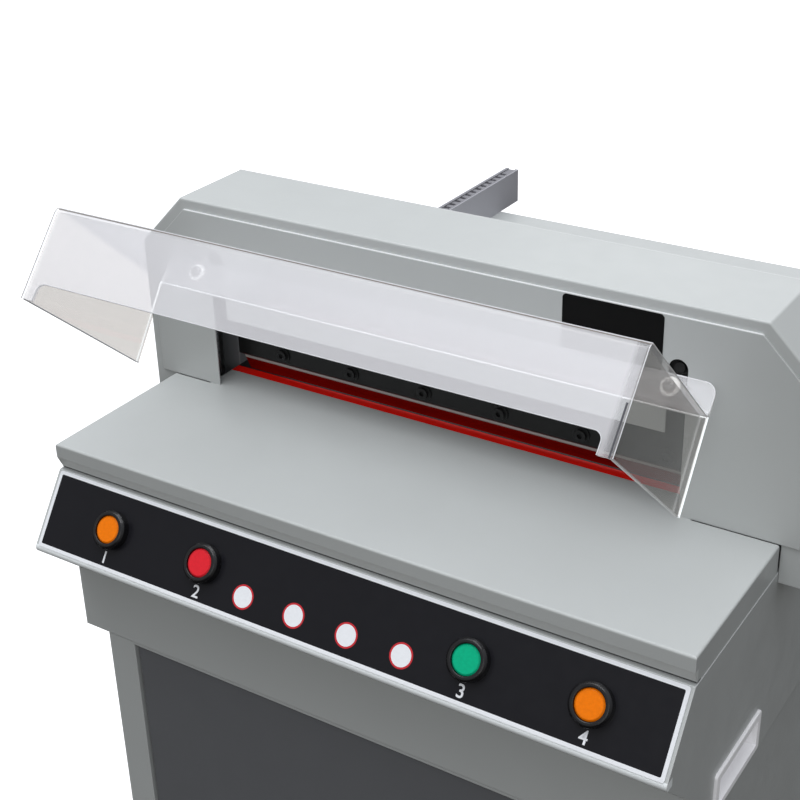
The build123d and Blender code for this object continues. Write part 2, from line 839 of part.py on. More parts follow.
clamp_front = blade_back + clamp_gap
clamp_low = table_top + clamp_low_rise
clamp_high = clamp_low + clamp_height
clamp_half = throat_half - clamp_throat_gap
nut_low = clamp_high - clamp_nut_sunk
with BuildPart() as clamp_beam:
    with BuildSketch(Plane.YZ.offset(throat_x)):
        with BuildLine():
            Polyline(
                (clamp_front, clamp_low),
                (clamp_rear, clamp_low),
                (clamp_rear, clamp_low + clamp_foot),
                (clamp_rear - clamp_foot / 2, clamp_high),
                (clamp_front + clamp_foot / 2, clamp_high),
                (clamp_front, clamp_low + clamp_foot),
                close=True,
            )
        make_face()
    extrude(amount=clamp_half, both=True)
    with BuildSketch(Plane.XY.offset(clamp_high)):
        with Locations(clamp_rod_places):
            Circle(clamp_rod_radius)
    extrude(amount=-clamp_rod_sunk, mode=Mode.SUBTRACT)
    with BuildSketch(Plane.XY.offset(clamp_high)):
        with Locations((throat_x, clamp_y)):
            Circle(clamp_screw_radius + play)
    extrude(amount=-(clamp_height - clamp_screw_pit), mode=Mode.SUBTRACT)
    with BuildSketch(Plane.XY.offset(clamp_high)):
        with Locations((throat_x, clamp_y)):
            Circle(clamp_nut_radius)
    extrude(amount=-clamp_nut_sunk, mode=Mode.SUBTRACT)
clamp_beam.part.label = "clamp_beam"
export_step(clamp_beam.part, "parts/clamp_beam.step")

with BuildPart() as clamp_rods:
    with BuildSketch(Plane.XY.offset(clamp_high - clamp_rod_sunk)):
        with Locations(clamp_rod_places):
            Circle(clamp_rod_radius)
    extrude(amount=beam_bottom - clamp_high + clamp_rod_sunk + clamp_travel + clamp_rod_spare)
clamp_rods.part.label = "clamp_rods"
export_step(clamp_rods.part, "parts/clamp_rods.step")

with BuildPart() as clamp_nut:
    with BuildSketch(Plane.XY.offset(nut_low)):
        with Locations((throat_x, clamp_y)):
            Circle(clamp_nut_radius)
            Circle(clamp_screw_radius + running, mode=Mode.SUBTRACT)
    extrude(amount=clamp_nut_height)
clamp_nut.part.label = "clamp_nut"
export_step(clamp_nut.part, "parts/clamp_nut.step")

clamp_gear_width = 60
clamp_gear_depth = 30
clamp_gear_height = 32
clamp_gear_round = 3
clamp_motor_radius = 14
clamp_motor_length = 80
clamp_motor_socket = 10
clamp_screw_low = clamp_low + clamp_screw_pit + play
with BuildPart() as clamp_screw:
    with BuildSketch(Plane.XY.offset(clamp_screw_low)):
        with Locations((throat_x, clamp_y)):
            Circle(clamp_screw_radius)
    extrude(amount=beam_top + clamp_motor_socket - play - clamp_screw_low)
clamp_screw.part.label = "clamp_screw"
export_step(clamp_screw.part, "parts/clamp_screw.step")

with BuildPart() as clamp_gear_motor:
    with BuildSketch(Plane.XY.offset(beam_top)):
        with Locations((throat_x, clamp_y)):
            RectangleRounded(clamp_gear_width, clamp_gear_depth, clamp_gear_round)
    extrude(amount=clamp_gear_height)
    with BuildSketch(Plane.YZ.offset(throat_x + clamp_gear_width / 2)):
        with Locations((clamp_y, beam_top + clamp_gear_height / 2)):
            Circle(clamp_motor_radius)
    extrude(amount=clamp_motor_length)
    with BuildSketch(Plane.XY.offset(beam_top)):
        with Locations((throat_x, clamp_y)):
            Circle(clamp_screw_radius + running)
    extrude(amount=clamp_motor_socket, mode=Mode.SUBTRACT)
clamp_gear_motor.part.label = "clamp_gear_motor"
export_step(clamp_gear_motor.part, "parts/clamp_gear_motor.step")

# Side fences on the rear table, each with a scale channel along its top
fence_width = 16.5
fence_height = 40
fence_throat_gap = 3.5
fence_channel_width = 9
fence_channel_depth = 1.5
fence_pitch = 12
fence_slot_length = 6
fence_slot_depth = 5
fence_end_margin = 10
fence_gap = 1
fence_front = rear_table_front + fence_gap
fence_rear = head_y + rear_reach
fence_inner = throat_half - fence_throat_gap

for side, turn in (("left", -1), ("right", 1)):
    inner_x = throat_x + turn * fence_inner
    middle_x = inner_x + turn * fence_width / 2
    fence_length = fence_rear - fence_front
    slot_count = int((fence_length - 2 * fence_end_margin) / fence_pitch)
    with BuildPart() as side_fence:
        with BuildSketch(Plane.XY.offset(table_top)):
            with Locations((middle_x, fence_front)):
                Rectangle(fence_width, fence_length, align=(Align.CENTER, Align.MIN))
        extrude(amount=fence_height)
        with BuildSketch(Plane.XY.offset(table_top + fence_height)):
            with Locations((middle_x, fence_front)):
                Rectangle(fence_channel_width, fence_length, align=(Align.CENTER, Align.MIN))
        extrude(amount=-fence_channel_depth, mode=Mode.SUBTRACT)
        with BuildSketch(Plane.XY.offset(table_top + fence_height - fence_channel_depth)):
            with Locations((middle_x, (fence_front + fence_rear) / 2)):
                with GridLocations(fence_pitch, fence_pitch, 1, slot_count):
                    Rectangle(fence_channel_width, fence_slot_length)
        extrude(amount=-fence_slot_depth, mode=Mode.SUBTRACT)
    side_fence.part.label = f"side_fence_{side}"
    export_step(side_fence.part, f"parts/side_fence_{side}.step")

# Back gauge: it slides on the rear table, and its neck goes down through the
# slot to the nut on the lead screw
gauge_rest_setback = 250
gauge_play = 1
gauge_height = 60
gauge_face_thickness = 12
gauge_foot_length = 82
gauge_foot_thickness = 10
gauge_fillet_run = 14
neck_setback = 45
neck_length = 30
neck_half = 6
nut_margin = 3
nut_half = 20
nut_top_drop = 30
nut_low_drop = 62

gauge_y = head_y + gauge_rest_setback
gauge_low = table_top + play
with BuildPart() as back_gauge:
    with BuildSketch(Plane.YZ.offset(throat_x)):
        with BuildLine():
            Polyline(
                (gauge_y, gauge_low),
                (gauge_y + gauge_foot_length, gauge_low),
                (gauge_y + gauge_foot_length, gauge_low + gauge_foot_thickness),
                (gauge_y + gauge_face_thickness + gauge_fillet_run, gauge_low + gauge_foot_thickness),
                (gauge_y + gauge_face_thickness, gauge_low + gauge_foot_thickness + gauge_fillet_run),
                (gauge_y + gauge_face_thickness, table_top + gauge_height),
                (gauge_y, table_top + gauge_height),
                close=True,
            )
        make_face()
    extrude(amount=fence_inner - gauge_play, both=True)
    with BuildSketch(Plane.XY.offset(gauge_low)):
        with Locations((throat_x, gauge_y + neck_setback)):
            Rectangle(2 * neck_half, neck_length, align=(Align.CENTER, Align.MIN))
    extrude(amount=-(nut_top_drop + play))
back_gauge.part.label = "back_gauge"
export_step(back_gauge.part, "parts/back_gauge.step")

with BuildPart() as gauge_nut:
    with BuildSketch(facing(gauge_rest_setback + neck_setback - nut_margin)):
        with Locations((throat_x, table_top - nut_top_drop)):
            Rectangle(2 * nut_half, nut_low_drop - nut_top_drop, align=(Align.CENTER, Align.MAX))
        with Locations((throat_x, gauge_screw_z)):
            Circle(gauge_screw_radius + running, mode=Mode.SUBTRACT)
    extrude(amount=-(neck_length + 2 * nut_margin))
gauge_nut.part.label = "gauge_nut"
export_step(gauge_nut.part, "parts/gauge_nut.step")

bearing_half = 18
bearing_length = 16
bearing_front_inset = 3
bearing_rear_inset = 33
screw_end_inset = 2
crank_gap = 5
crank_arm_thickness = 8
crank_throw = 70
crank_hub_radius = 14
crank_end_radius = 10
crank_pin_radius = 4
crank_pin_length = 28
knob_radius = 11
knob_length = 27
knob_neck = 8
knob_swell = 9
knob_bevel = 2

bearing_front_setback = bed_rear_setback + table_gap + bearing_front_inset
bearing_rear_setback = casing_rear_reach - bearing_rear_inset
crank_arm_setback = casing_rear_reach + crank_gap
screw_start = bearing_front_setback + screw_end_inset
with BuildPart() as lead_screw_bearings:
    for setback in (bearing_front_setback, bearing_rear_setback):
        with BuildSketch(facing(setback)):
            with Locations((throat_x, table_top - table_sheet)):
                Rectangle(2 * bearing_half, nut_low_drop - table_sheet, align=(Align.CENTER, Align.MAX))
            with Locations((throat_x, gauge_screw_z)):
                Circle(gauge_screw_radius + running, mode=Mode.SUBTRACT)
        extrude(amount=-bearing_length)
lead_screw_bearings.part.label = "lead_screw_bearings"
export_step(lead_screw_bearings.part, "parts/lead_screw_bearings.step")

with BuildPart() as lead_screw:
    with BuildSketch(facing(screw_start)):
        with Locations((throat_x, gauge_screw_z)):
            Circle(gauge_screw_radius)
    extrude(amount=-(crank_arm_setback - screw_start))
lead_screw.part.label = "lead_screw"
export_step(lead_screw.part, "parts/lead_screw.step")

crank_pin_z = gauge_screw_z - crank_throw
with BuildPart() as crank_arm:
    with BuildSketch(facing(crank_arm_setback)):
        with Locations((throat_x, gauge_screw_z)):
            Circle(crank_hub_radius)
        with Locations((throat_x, crank_pin_z)):
            Circle(crank_end_radius)
        make_hull()
    extrude(amount=-crank_arm_thickness)
    fillet(crank_arm.faces().sort_by(Axis.Y)[-1].edges(), radius=table_round)
    with BuildSketch(facing(crank_arm_setback + crank_arm_thickness)):
        with Locations((throat_x, crank_pin_z)):
            Circle(crank_pin_radius)
    extrude(amount=-crank_pin_length)
crank_arm.part.label = "crank_arm"
export_step(crank_arm.part, "parts/crank_arm.step")

knob_start = head_y + crank_arm_setback + crank_arm_thickness + play
with BuildPart() as crank_knob:
    with BuildSketch(Plane(origin=(throat_x, knob_start, crank_pin_z), x_dir=(1, 0, 0), z_dir=(0, 0, 1))):
        with BuildLine():
            Polyline(
                (crank_pin_radius + running, 0),
                (knob_neck, 0),
                (knob_radius, knob_swell),
                (knob_radius, knob_length - knob_bevel),
                (knob_radius - knob_bevel, knob_length),
                (crank_pin_radius + running, knob_length),
                close=True,
            )
        make_face()
    revolve(axis=Axis((throat_x, knob_start, crank_pin_z), (0, 1, 0)))
crank_knob.part.label = "crank_knob"
export_step(crank_knob.part, "parts/crank_knob.step")

# Clear guard: one bent sheet with a cheek glued in at each end. It is drawn
# shut, in the frame of its hinge, and stands here swung up against its stop.
guard_raise = 42.6
guard_hinge_reach = 3.4
guard_hinge_rise = 110.6
guard_left_margin = 41
guard_right_margin = 26
guard_thickness = 3
guard_bend_radius = 5
flange_offset = 9.5
flange_above = 10.8
flange_below = 15.8
guard_top_length = 158
guard_top_rise = 3
guard_front_height = 82
guard_front_tuck = 3
cheek_back = 1
cheek_fall = 77
guard_leg = 12
guard_cut = 16
guard_cut_round = 7
flange_round = 10
guard_screw_inset = 35.5
guard_washer_radius = 8
guard_washer_thickness = 2
guard_screw_radius = 4.8
guard_screw_head = 3
guard_cross_length = 6
guard_cross_width = 1.2
pivot_block_half = 8
pivot_block_radius = 3
pivot_neck_half = 4
pivot_pin_radius = 1.5
ear_radius = 5
ear_thickness = 2.5

hinge_y = head_y - guard_hinge_reach
hinge_z = table_top + guard_hinge_rise
hinge_plane = Plane(origin=(0, hinge_y, hinge_z), x_dir=(0, 1, 0), z_dir=(1, 0, 0))
guard_plane = Plane(
    origin=hinge_plane.origin,
    x_dir=(0, cos(radians(guard_raise)), -sin(radians(guard_raise))),
    z_dir=(1, 0, 0),
)
guard_left = throat_x - throat_half - guard_left_margin
guard_right = throat_x + throat_half + guard_right_margin
guard_screw_xs = (guard_left + guard_screw_inset, guard_right - guard_screw_inset)
guard_middle = (guard_left + guard_right) / 2
guard_half = (guard_right - guard_left) / 2
guard_bend = (-flange_offset, -flange_below)
guard_front_top = (-flange_offset - guard_top_length, guard_top_rise - flange_below)
guard_front_low = (guard_front_top[0] + guard_front_tuck, guard_front_top[1] - guard_front_height)
cheek_low = (cheek_back, -flange_below - cheek_fall)

with BuildPart() as guard_hood:
    with BuildSketch(guard_plane.offset(guard_middle)):
        with BuildLine():
            FilletPolyline(
                (-flange_offset, flange_above),
                guard_bend,
                guard_front_top,
                guard_front_low,
                radius=guard_bend_radius,
            )
            offset(amount=guard_thickness, side=Side.LEFT)
        make_face()
    extrude(amount=guard_half, both=True)
    flange_corners = guard_hood.edges().filter_by(Axis((0, 0, 0), guard_plane.x_dir))
    fillet(flange_corners.sort_by(Axis(guard_plane.origin, guard_plane.y_dir))[-2:], radius=flange_round)
    for cheek_x in (guard_left, guard_right - guard_thickness):
        with BuildSketch(guard_plane.offset(cheek_x)) as cheek:
            with BuildLine():
                Polyline(guard_bend, guard_front_top, guard_front_low, cheek_low, close=True)
            make_face()
            fillet(cheek.vertices().sort_by(Axis.Y)[-1], radius=guard_bend_radius)
        extrude(amount=guard_thickness)
    window_plane = Plane(
        origin=guard_plane.from_local_coords((guard_front_low[0], guard_front_low[1], guard_middle)),
        x_dir=(1, 0, 0),
        z_dir=-guard_plane.x_dir,
    )
    with BuildSketch(window_plane):
        RectangleRounded(2 * (guard_half - guard_leg), 2 * guard_cut, guard_cut_round)
    extrude(amount=2 * guard_thickness, both=True, mode=Mode.SUBTRACT)
guard_hood.part.label = "guard_hood"
export_step(guard_hood.part, "parts/guard_hood.step")

# Each guard screw clamps the flange, between white washers, to a small block
# that turns on a pin between two ears on the face plate
flange_plane = Plane(
    origin=guard_plane.from_local_coords((-flange_offset, 0, 0)),
    x_dir=(1, 0, 0),
    z_dir=-guard_plane.x_dir,
)
screw_spots = [(x, 0) for x in guard_screw_xs]
with BuildPart() as guard_washers:
    with BuildSketch(flange_plane):
        with Locations(screw_spots):
            Circle(guard_washer_radius)
    extrude(amount=guard_washer_thickness)
    fillet(
        guard_washers.faces().group_by(Axis(flange_plane.origin, flange_plane.z_dir))[-1].edges(),
        radius=guard_washer_thickness / 2,
    )
guard_washers.part.label = "guard_washers"
export_step(guard_washers.part, "parts/guard_washers.step")

with BuildPart() as guard_screws:
    with BuildSketch(flange_plane.offset(guard_washer_thickness)):
        with Locations(screw_spots):
            Circle(guard_screw_radius)
    extrude(amount=guard_screw_head)
    fillet(
        guard_screws.faces().group_by(Axis(flange_plane.origin, flange_plane.z_dir))[-1].edges(),
        radius=guard_screw_head / 2,
    )
    with BuildSketch(flange_plane.offset(guard_washer_thickness + guard_screw_head)):
        with Locations(screw_spots):
            Rectangle(guard_cross_length, guard_cross_width)
            Rectangle(guard_cross_width, guard_cross_length)
    extrude(amount=-guard_screw_head / 2, mode=Mode.SUBTRACT)
guard_screws.part.label = "guard_screws"
export_step(guard_screws.part, "parts/guard_screws.step")

with BuildPart() as guard_pivot_blocks:
    for x in guard_screw_xs:
        with BuildSketch(guard_plane.offset(x)):
            with Locations((-(flange_offset - guard_thickness) / 2, 0)):
                Rectangle(flange_offset - guard_thickness, 2 * pivot_neck_half)
            Circle(pivot_block_radius)
            Circle(pivot_pin_radius + running, mode=Mode.SUBTRACT)
        extrude(amount=pivot_block_half, both=True)
guard_pivot_blocks.part.label = "guard_pivot_blocks"
export_step(guard_pivot_blocks.part, "parts/guard_pivot_blocks.step")

with BuildPart() as guard_pivot_ears:
    for x in guard_screw_xs:
        with BuildSketch(hinge_plane.offset(x)):
            Circle(ear_radius)
            with Locations((guard_hinge_reach / 2, 0)):
                Rectangle(guard_hinge_reach, 2 * ear_radius)
            Circle(pivot_pin_radius, mode=Mode.SUBTRACT)
            with Locations((guard_hinge_reach + ear_radius, 0)):
                Rectangle(2 * ear_radius, 2 * ear_radius, mode=Mode.SUBTRACT)
        extrude(amount=pivot_block_half + play + ear_thickness, both=True)
        with BuildSketch(hinge_plane.offset(x)):
            Rectangle(4 * ear_radius, 4 * ear_radius)
        extrude(amount=pivot_block_half + play, both=True, mode=Mode.SUBTRACT)
        with BuildSketch(hinge_plane.offset(x)):
            Circle(pivot_pin_radius)
        extrude(amount=pivot_block_half + play + ear_thickness, both=True)
guard_pivot_ears.part.label = "guard_pivot_ears"
export_step(guard_pivot_ears.part, "parts/guard_pivot_ears.step")

# Electrics: a control box on the pan and the mains inlet in the back
control_side_gap = 4.5
control_width = 90
control_length = 200
control_height = 75
control_front_setback = 130
control_round = 3

control_x = casing_half - sheet - control_side_gap - control_width / 2
with BuildPart() as control_box:
    with BuildSketch(Plane.XY.offset(pan_top)):
        with Locations((control_x, head_y + control_front_setback)):
            Rectangle(control_width, control_length, align=(Align.CENTER, Align.MIN))
    extrude(amount=control_height)
    fillet(control_box.edges().group_by(Axis.Z)[-1], radius=control_round)
control_box.part.label = "control_box"
export_step(control_box.part, "parts/control_box.step")

with BuildPart() as mains_inlet:
    with BuildSketch(facing(casing_rear_reach)):
        with Locations((inlet_x, table_top - inlet_drop)):
            RectangleRounded(inlet_width, inlet_height, inlet_flange)
    extrude(amount=-inlet_flange)
    with BuildSketch(facing(casing_rear_reach)):
        with Locations((inlet_x, table_top - inlet_drop)):
            Rectangle(inlet_socket_width - 2 * play, inlet_socket_height - 2 * play)
    extrude(amount=inlet_depth)
    with BuildSketch(facing(casing_rear_reach + inlet_flange)):
        with Locations((inlet_x, table_top - inlet_drop)):
            Rectangle(inlet_socket_width - 2 * inlet_flange, inlet_socket_height - 2 * inlet_flange)
    extrude(amount=inlet_depth, mode=Mode.SUBTRACT)
    with BuildSketch(facing(casing_rear_reach + inlet_flange - inlet_depth)):
        with Locations(
            (inlet_x - inlet_pin_pitch / 2, table_top - inlet_drop - inlet_pin_rise / 2),
            (inlet_x, table_top - inlet_drop + inlet_pin_rise / 2),
            (inlet_x + inlet_pin_pitch / 2, table_top - inlet_drop - inlet_pin_rise / 2),
        ):
            Rectangle(inlet_pin_width, inlet_pin_height)
    extrude(amount=-inlet_pin_length)
mains_inlet.part.label = "mains_inlet"
export_step(mains_inlet.part, "parts/mains_inlet.step")

# Cabinet: a sheet box on levelling feet, with a recessed door in front
cabinet_side_inset = 26.5
cabinet_front_inset = 1
cabinet_rear_inset = 96
foot_height = 40
stile_width = 31
opening_sill = 30
opening_return = 22
door_recess = 3
door_thickness = 18
door_gap = 2
door_sheet = 1.5
hinge_inset = 9
door_pin_radius = 3
door_pin_length = 15
door_pin_depth = 5
shelf_drop = 330
shelf_height = 18

cabinet_half = casing_half - cabinet_side_inset
cabinet_front = head_y - apron_reach + cabinet_front_inset
cabinet_rear = casing_rear - cabinet_rear_inset
cabinet_middle = (cabinet_front + cabinet_rear) / 2
cabinet_length = cabinet_rear - cabinet_front
opening_half = cabinet_half - stile_width
opening_low = foot_height + opening_sill
opening_high = casing_bottom - 2 * sheet
opening_centre = (opening_low + opening_high) / 2
opening_height = opening_high - opening_low


def cabinet_face(depth):
    """Upright plane seen from the front, this far behind the cabinet's face."""
    return Plane.XZ.offset(-(cabinet_front + depth))


with BuildPart() as cabinet_shell:
    with BuildSketch(Plane.XY.offset(foot_height)):
        with Locations((0, cabinet_middle)):
            Rectangle(2 * cabinet_half, cabinet_length)
    extrude(amount=casing_bottom - foot_height)
    with BuildSketch(Plane.XY.offset(foot_height + sheet)):
        with Locations((0, cabinet_middle + sheet / 2)):
            Rectangle(2 * (cabinet_half - sheet), cabinet_length - sheet)
    extrude(amount=casing_bottom - foot_height - 2 * sheet, mode=Mode.SUBTRACT)
    with BuildSketch(Plane.XY.offset(casing_bottom)):
        with Locations((0, head_y + (pan_opening_rear - pan_opening_front) / 2)):
            Rectangle(2 * pan_opening_half, pan_opening_front + pan_opening_rear)
    extrude(amount=-2 * sheet, mode=Mode.SUBTRACT)
    with BuildSketch(cabinet_face(0)):
        with Locations((0, opening_centre)):
            Rectangle(2 * (opening_half + sheet), opening_height + 2 * sheet)
    extrude(amount=-opening_return)
    with BuildSketch(cabinet_face(0)):
        with Locations((0, opening_centre)):
            Rectangle(2 * opening_half, opening_height)
    extrude(amount=-2 * opening_return, mode=Mode.SUBTRACT)
cabinet_shell.part.label = "cabinet_shell"
export_step(cabinet_shell.part, "parts/cabinet_shell.step")

with BuildPart() as cabinet_back:
    with BuildSketch(cabinet_face(cabinet_length)):
        with Locations((0, (foot_height + casing_bottom) / 2)):
            Rectangle(2 * cabinet_half, casing_bottom - foot_height)
    extrude(amount=-sheet)
cabinet_back.part.label = "cabinet_back"
export_step(cabinet_back.part, "parts/cabinet_back.step")

shelf_z = casing_bottom - shelf_drop
with BuildPart() as cabinet_shelf:
    shelf_front = cabinet_front + opening_return + door_gap
    with BuildSketch(Plane.YZ) as shelf_side:
        with BuildLine():
            Polyline(
                (shelf_front, shelf_z),
                (cabinet_rear, shelf_z),
                (cabinet_rear, shelf_z - shelf_height),
                (cabinet_rear - sheet, shelf_z - shelf_height),
                (cabinet_rear - sheet, shelf_z - sheet),
                (shelf_front + sheet, shelf_z - sheet),
                (shelf_front + sheet, shelf_z - shelf_height),
                (shelf_front, shelf_z - shelf_height),
                close=True,
            )
        make_face()
    extrude(amount=cabinet_half - sheet, both=True)
cabinet_shelf.part.label = "cabinet_shelf"
export_step(cabinet_shelf.part, "parts/cabinet_shelf.step")

door_half = opening_half - door_gap
door_low = opening_low + door_gap
door_height = opening_height - 2 * door_gap
door_front = cabinet_front + door_recess
door_pin = (-(opening_half - hinge_inset), door_front + door_pin_depth)
with BuildPart() as cabinet_door:
    with BuildSketch(cabinet_face(door_recess)):
        with Locations((0, opening_centre)):
            Rectangle(2 * door_half, door_height)
    extrude(amount=-door_thickness)
    fillet(cabinet_door.edges().group_by(Axis.Y)[0], radius=door_sheet / 2)
    with BuildSketch(cabinet_face(door_recess + door_sheet)):
        with Locations((0, opening_centre)):
            Rectangle(2 * (door_half - door_sheet), door_height - 2 * door_sheet)
    extrude(amount=-door_thickness, mode=Mode.SUBTRACT)
    with BuildSketch(Plane.XY.offset(door_low)):
        with Locations(door_pin):
            Circle(door_pin_radius + running)
    extrude(amount=door_height, mode=Mode.SUBTRACT)
cabinet_door.part.label = "cabinet_door"
export_step(cabinet_door.part, "parts/cabinet_door.step")

with BuildPart() as door_hinge_pins:
    with BuildSketch(Plane.XY.offset(opening_low)):
        with Locations(door_pin):
            Circle(door_pin_radius)
    extrude(amount=door_pin_length)
    with BuildSketch(Plane.XY.offset(opening_high)):
        with Locations(door_pin):
            Circle(door_pin_radius)
    extrude(amount=-door_pin_length)
door_hinge_pins.part.label = "door_hinge_pins"
export_step(door_hinge_pins.part, "parts/door_hinge_pins.step")

door_knob_inset = 36
door_knob_neck = 7
door_knob_radius = 14
door_knob_length = 22
door_knob_bevel = 4
door_knob_rise = 103
door_knob_x = door_half - door_knob_inset
door_knob_place = (door_knob_x, door_front, opening_centre + door_knob_rise)
with BuildPart() as door_knob:
    with BuildSketch(Plane(origin=door_knob_place, x_dir=(1, 0, 0), z_dir=(0, 0, 1))):
        with BuildLine():
            Polyline(
                (0, 0),
                (door_knob_radius - door_knob_bevel, 0),
                (door_knob_neck, -door_knob_length / 3),
                (door_knob_radius, -door_knob_length / 2),
                (door_knob_radius, door_knob_bevel - door_knob_length),
                (door_knob_radius - door_knob_bevel, -door_knob_length),
                (0, -door_knob_length),
                close=True,
            )
        make_face()
    revolve(axis=Axis(door_knob_place, (0, 1, 0)))
door_knob.part.label = "door_knob"
export_step(door_knob.part, "parts/door_knob.step")

foot_radius = 22
foot_pad = 8
foot_stem_radius = 6
foot_nut_radius = 11
foot_nut_height = 8
foot_inset = 38
foot_skirt = 4
foot_places = [
    (turn * (cabinet_half - foot_inset), cabinet_middle + step * (cabinet_length / 2 - foot_inset))
    for turn in (-1, 1)
    for step in (-1, 1)
]
with BuildPart() as levelling_feet:
    for place in foot_places:
        with BuildSketch(Plane(origin=(place[0], place[1], 0), x_dir=(1, 0, 0), z_dir=(0, -1, 0))):
            with BuildLine():
                Polyline(
                    (0, 0),
                    (foot_radius, 0),
                    (foot_radius, foot_pad / 2),
                    (foot_radius - foot_skirt, foot_pad),
                    (foot_nut_radius, foot_pad + foot_skirt),
                    (foot_stem_radius, foot_pad + foot_skirt),
                    (foot_stem_radius, foot_height - foot_nut_height),
                    (foot_nut_radius, foot_height - foot_nut_height),
                    (foot_nut_radius, foot_height),
                    (0, foot_height),
                    close=True,
                )
            make_face()
        revolve(axis=Axis((place[0], place[1], 0), (0, 0, 1)))
levelling_feet.part.label = "levelling_feet"
export_step(levelling_feet.part, "parts/levelling_feet.step")
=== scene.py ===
# %% [markdown]
# An electric paper cutter, dressed for its portrait.
# The construction arrives as a fixed frame of named parts at their real size.
# Nothing in it is moved here. This lesson gives every part its finish, and adds
# the small things that a press brake or a mould doesn't make: print, labels,
# lenses, polished edges and screws.

# %% Load the frame
import json
from math import acos, cos, degrees, pi, radians, sin, sqrt

import bmesh
import bpy
from mathutils import Matrix, Vector


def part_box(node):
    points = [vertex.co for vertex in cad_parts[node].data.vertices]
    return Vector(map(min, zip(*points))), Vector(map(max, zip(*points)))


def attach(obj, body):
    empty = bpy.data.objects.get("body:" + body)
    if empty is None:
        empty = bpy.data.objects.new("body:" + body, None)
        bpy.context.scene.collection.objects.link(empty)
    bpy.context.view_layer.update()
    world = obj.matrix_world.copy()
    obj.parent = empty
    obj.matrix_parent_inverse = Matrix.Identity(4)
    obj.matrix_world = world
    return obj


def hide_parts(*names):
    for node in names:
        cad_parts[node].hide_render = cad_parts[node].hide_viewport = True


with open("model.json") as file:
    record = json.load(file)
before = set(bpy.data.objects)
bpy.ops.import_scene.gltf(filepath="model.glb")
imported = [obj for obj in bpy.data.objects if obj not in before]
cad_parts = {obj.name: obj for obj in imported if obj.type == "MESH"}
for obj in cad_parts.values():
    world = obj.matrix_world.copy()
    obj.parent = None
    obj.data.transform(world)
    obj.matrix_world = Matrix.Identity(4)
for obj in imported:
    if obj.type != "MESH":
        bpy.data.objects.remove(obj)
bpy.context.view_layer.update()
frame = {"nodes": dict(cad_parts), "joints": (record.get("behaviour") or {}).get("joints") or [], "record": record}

nodes = frame["nodes"]
scene = bpy.context.scene
print("parts in the frame:", len(nodes))

# %% [markdown]
# The camera looks down on the machine from its front right corner, like a
# customer in a shop. A camera in Blender looks along its own minus Z, with its
# own Y up, so its matrix holds three directions: right, up and back. Two angles
# and a small roll are easier to read than nine numbers, so they make the matrix.

# %% Camera
camera_place = Vector((0.5871, -1.1493, 1.5210))
camera_turn = radians(33.3)
camera_dip = radians(27.4)
camera_roll = radians(-1.6)
lens_in_pixels = 1491.4
picture_pixels = 800

level = cos(camera_dip)
looking = Vector((-sin(camera_turn) * level, cos(camera_turn) * level, -sin(camera_dip)))
level_right = looking.cross(Vector((0, 0, 1))).normalized()
level_up = level_right.cross(looking)
camera_right = cos(camera_roll) * level_right + sin(camera_roll) * level_up
camera_up = cos(camera_roll) * level_up - sin(camera_roll) * level_right

camera_data = bpy.data.cameras.new("portrait_camera")
camera_data.sensor_width = 36
camera_data.lens = camera_data.sensor_width * lens_in_pixels / picture_pixels
camera = bpy.data.objects.new("portrait_camera", camera_data)
turned = Matrix((camera_right, camera_up, -looking)).transposed().to_4x4()
camera.matrix_world = Matrix.Translation(camera_place) @ turned
scene.collection.objects.link(camera)
scene.camera = camera
print("lens in millimetres:", round(camera_data.lens, 1))

# %% [markdown]
# A product table in a studio is a pale sweep under large soft lamps. The floor
# here is wide and pale, and far out it curves up into a wall, so that no horizon
# cuts the picture. A plane with one bent edge would do for a single view. A round
# floor, whose rim is drawn again at each step of the bend, does for all of them.

# %% Floor of the studio
def principled(material):
    """The main shader of a material, which is made ready for nodes."""
    material.use_nodes = True
    return material.node_tree.nodes["Principled BSDF"]


floor_reach, floor_curve, wall_top, ring_steps = 11, 3, 14, 64
curve_steps = 6
bends = [step / curve_steps * pi / 2 for step in range(curve_steps + 1)]
profile = [(floor_reach + floor_curve * sin(bend), floor_curve * (1 - cos(bend))) for bend in bends]
profile.append((floor_reach + floor_curve, wall_top))
floor_points, floor_faces = [], [tuple(range(ring_steps))]
for radius, height in profile:
    for step in range(ring_steps):
        angle = 2 * pi * step / ring_steps
        floor_points.append((radius * cos(angle), radius * sin(angle), height))
for ring in range(len(profile) - 1):
    for step in range(ring_steps):
        here, after = ring * ring_steps + step, ring * ring_steps + (step + 1) % ring_steps
        floor_faces.append((here, here + ring_steps, after + ring_steps, after))
floor_mesh = bpy.data.meshes.new("studio_floor")
floor_mesh.from_pydata(floor_points, [], floor_faces)
for face in floor_mesh.polygons:
    face.use_smooth = face.index > 0
floor = bpy.data.objects.new("studio_floor", floor_mesh)
scene.collection.objects.link(floor)

sweep = bpy.data.materials.new("pale_sweep")
sweep_shader = principled(sweep)
sweep_shader.inputs["Base Color"].default_value = (0.9, 0.9, 0.9, 1)
sweep_shader.inputs["Roughness"].default_value = 0.8
sweep_shader.inputs["Emission Color"].default_value = (1, 1, 1, 1)
sweep_shader.inputs["Emission Strength"].default_value = 0.5
floor_mesh.materials.append(sweep)
floor.visible_diffuse = False
floor.visible_glossy = False
floor.visible_shadow = False
print("floor", 2 * floor_reach, "metres wide, wall", wall_top, "metres high")

# %% [markdown]
# The world is a soft sky, brightest overhead and dimmer low down, which keeps
# the folded edges and the upright faces a step darker than the table tops. It is
# a touch blue above and a touch warm below, as in a room with daylight. Four
# tones on a ramp are enough for that. A shader is a tree of nodes, and one helper
# adds a node, sets it and links it, so that a tree reads like a list.

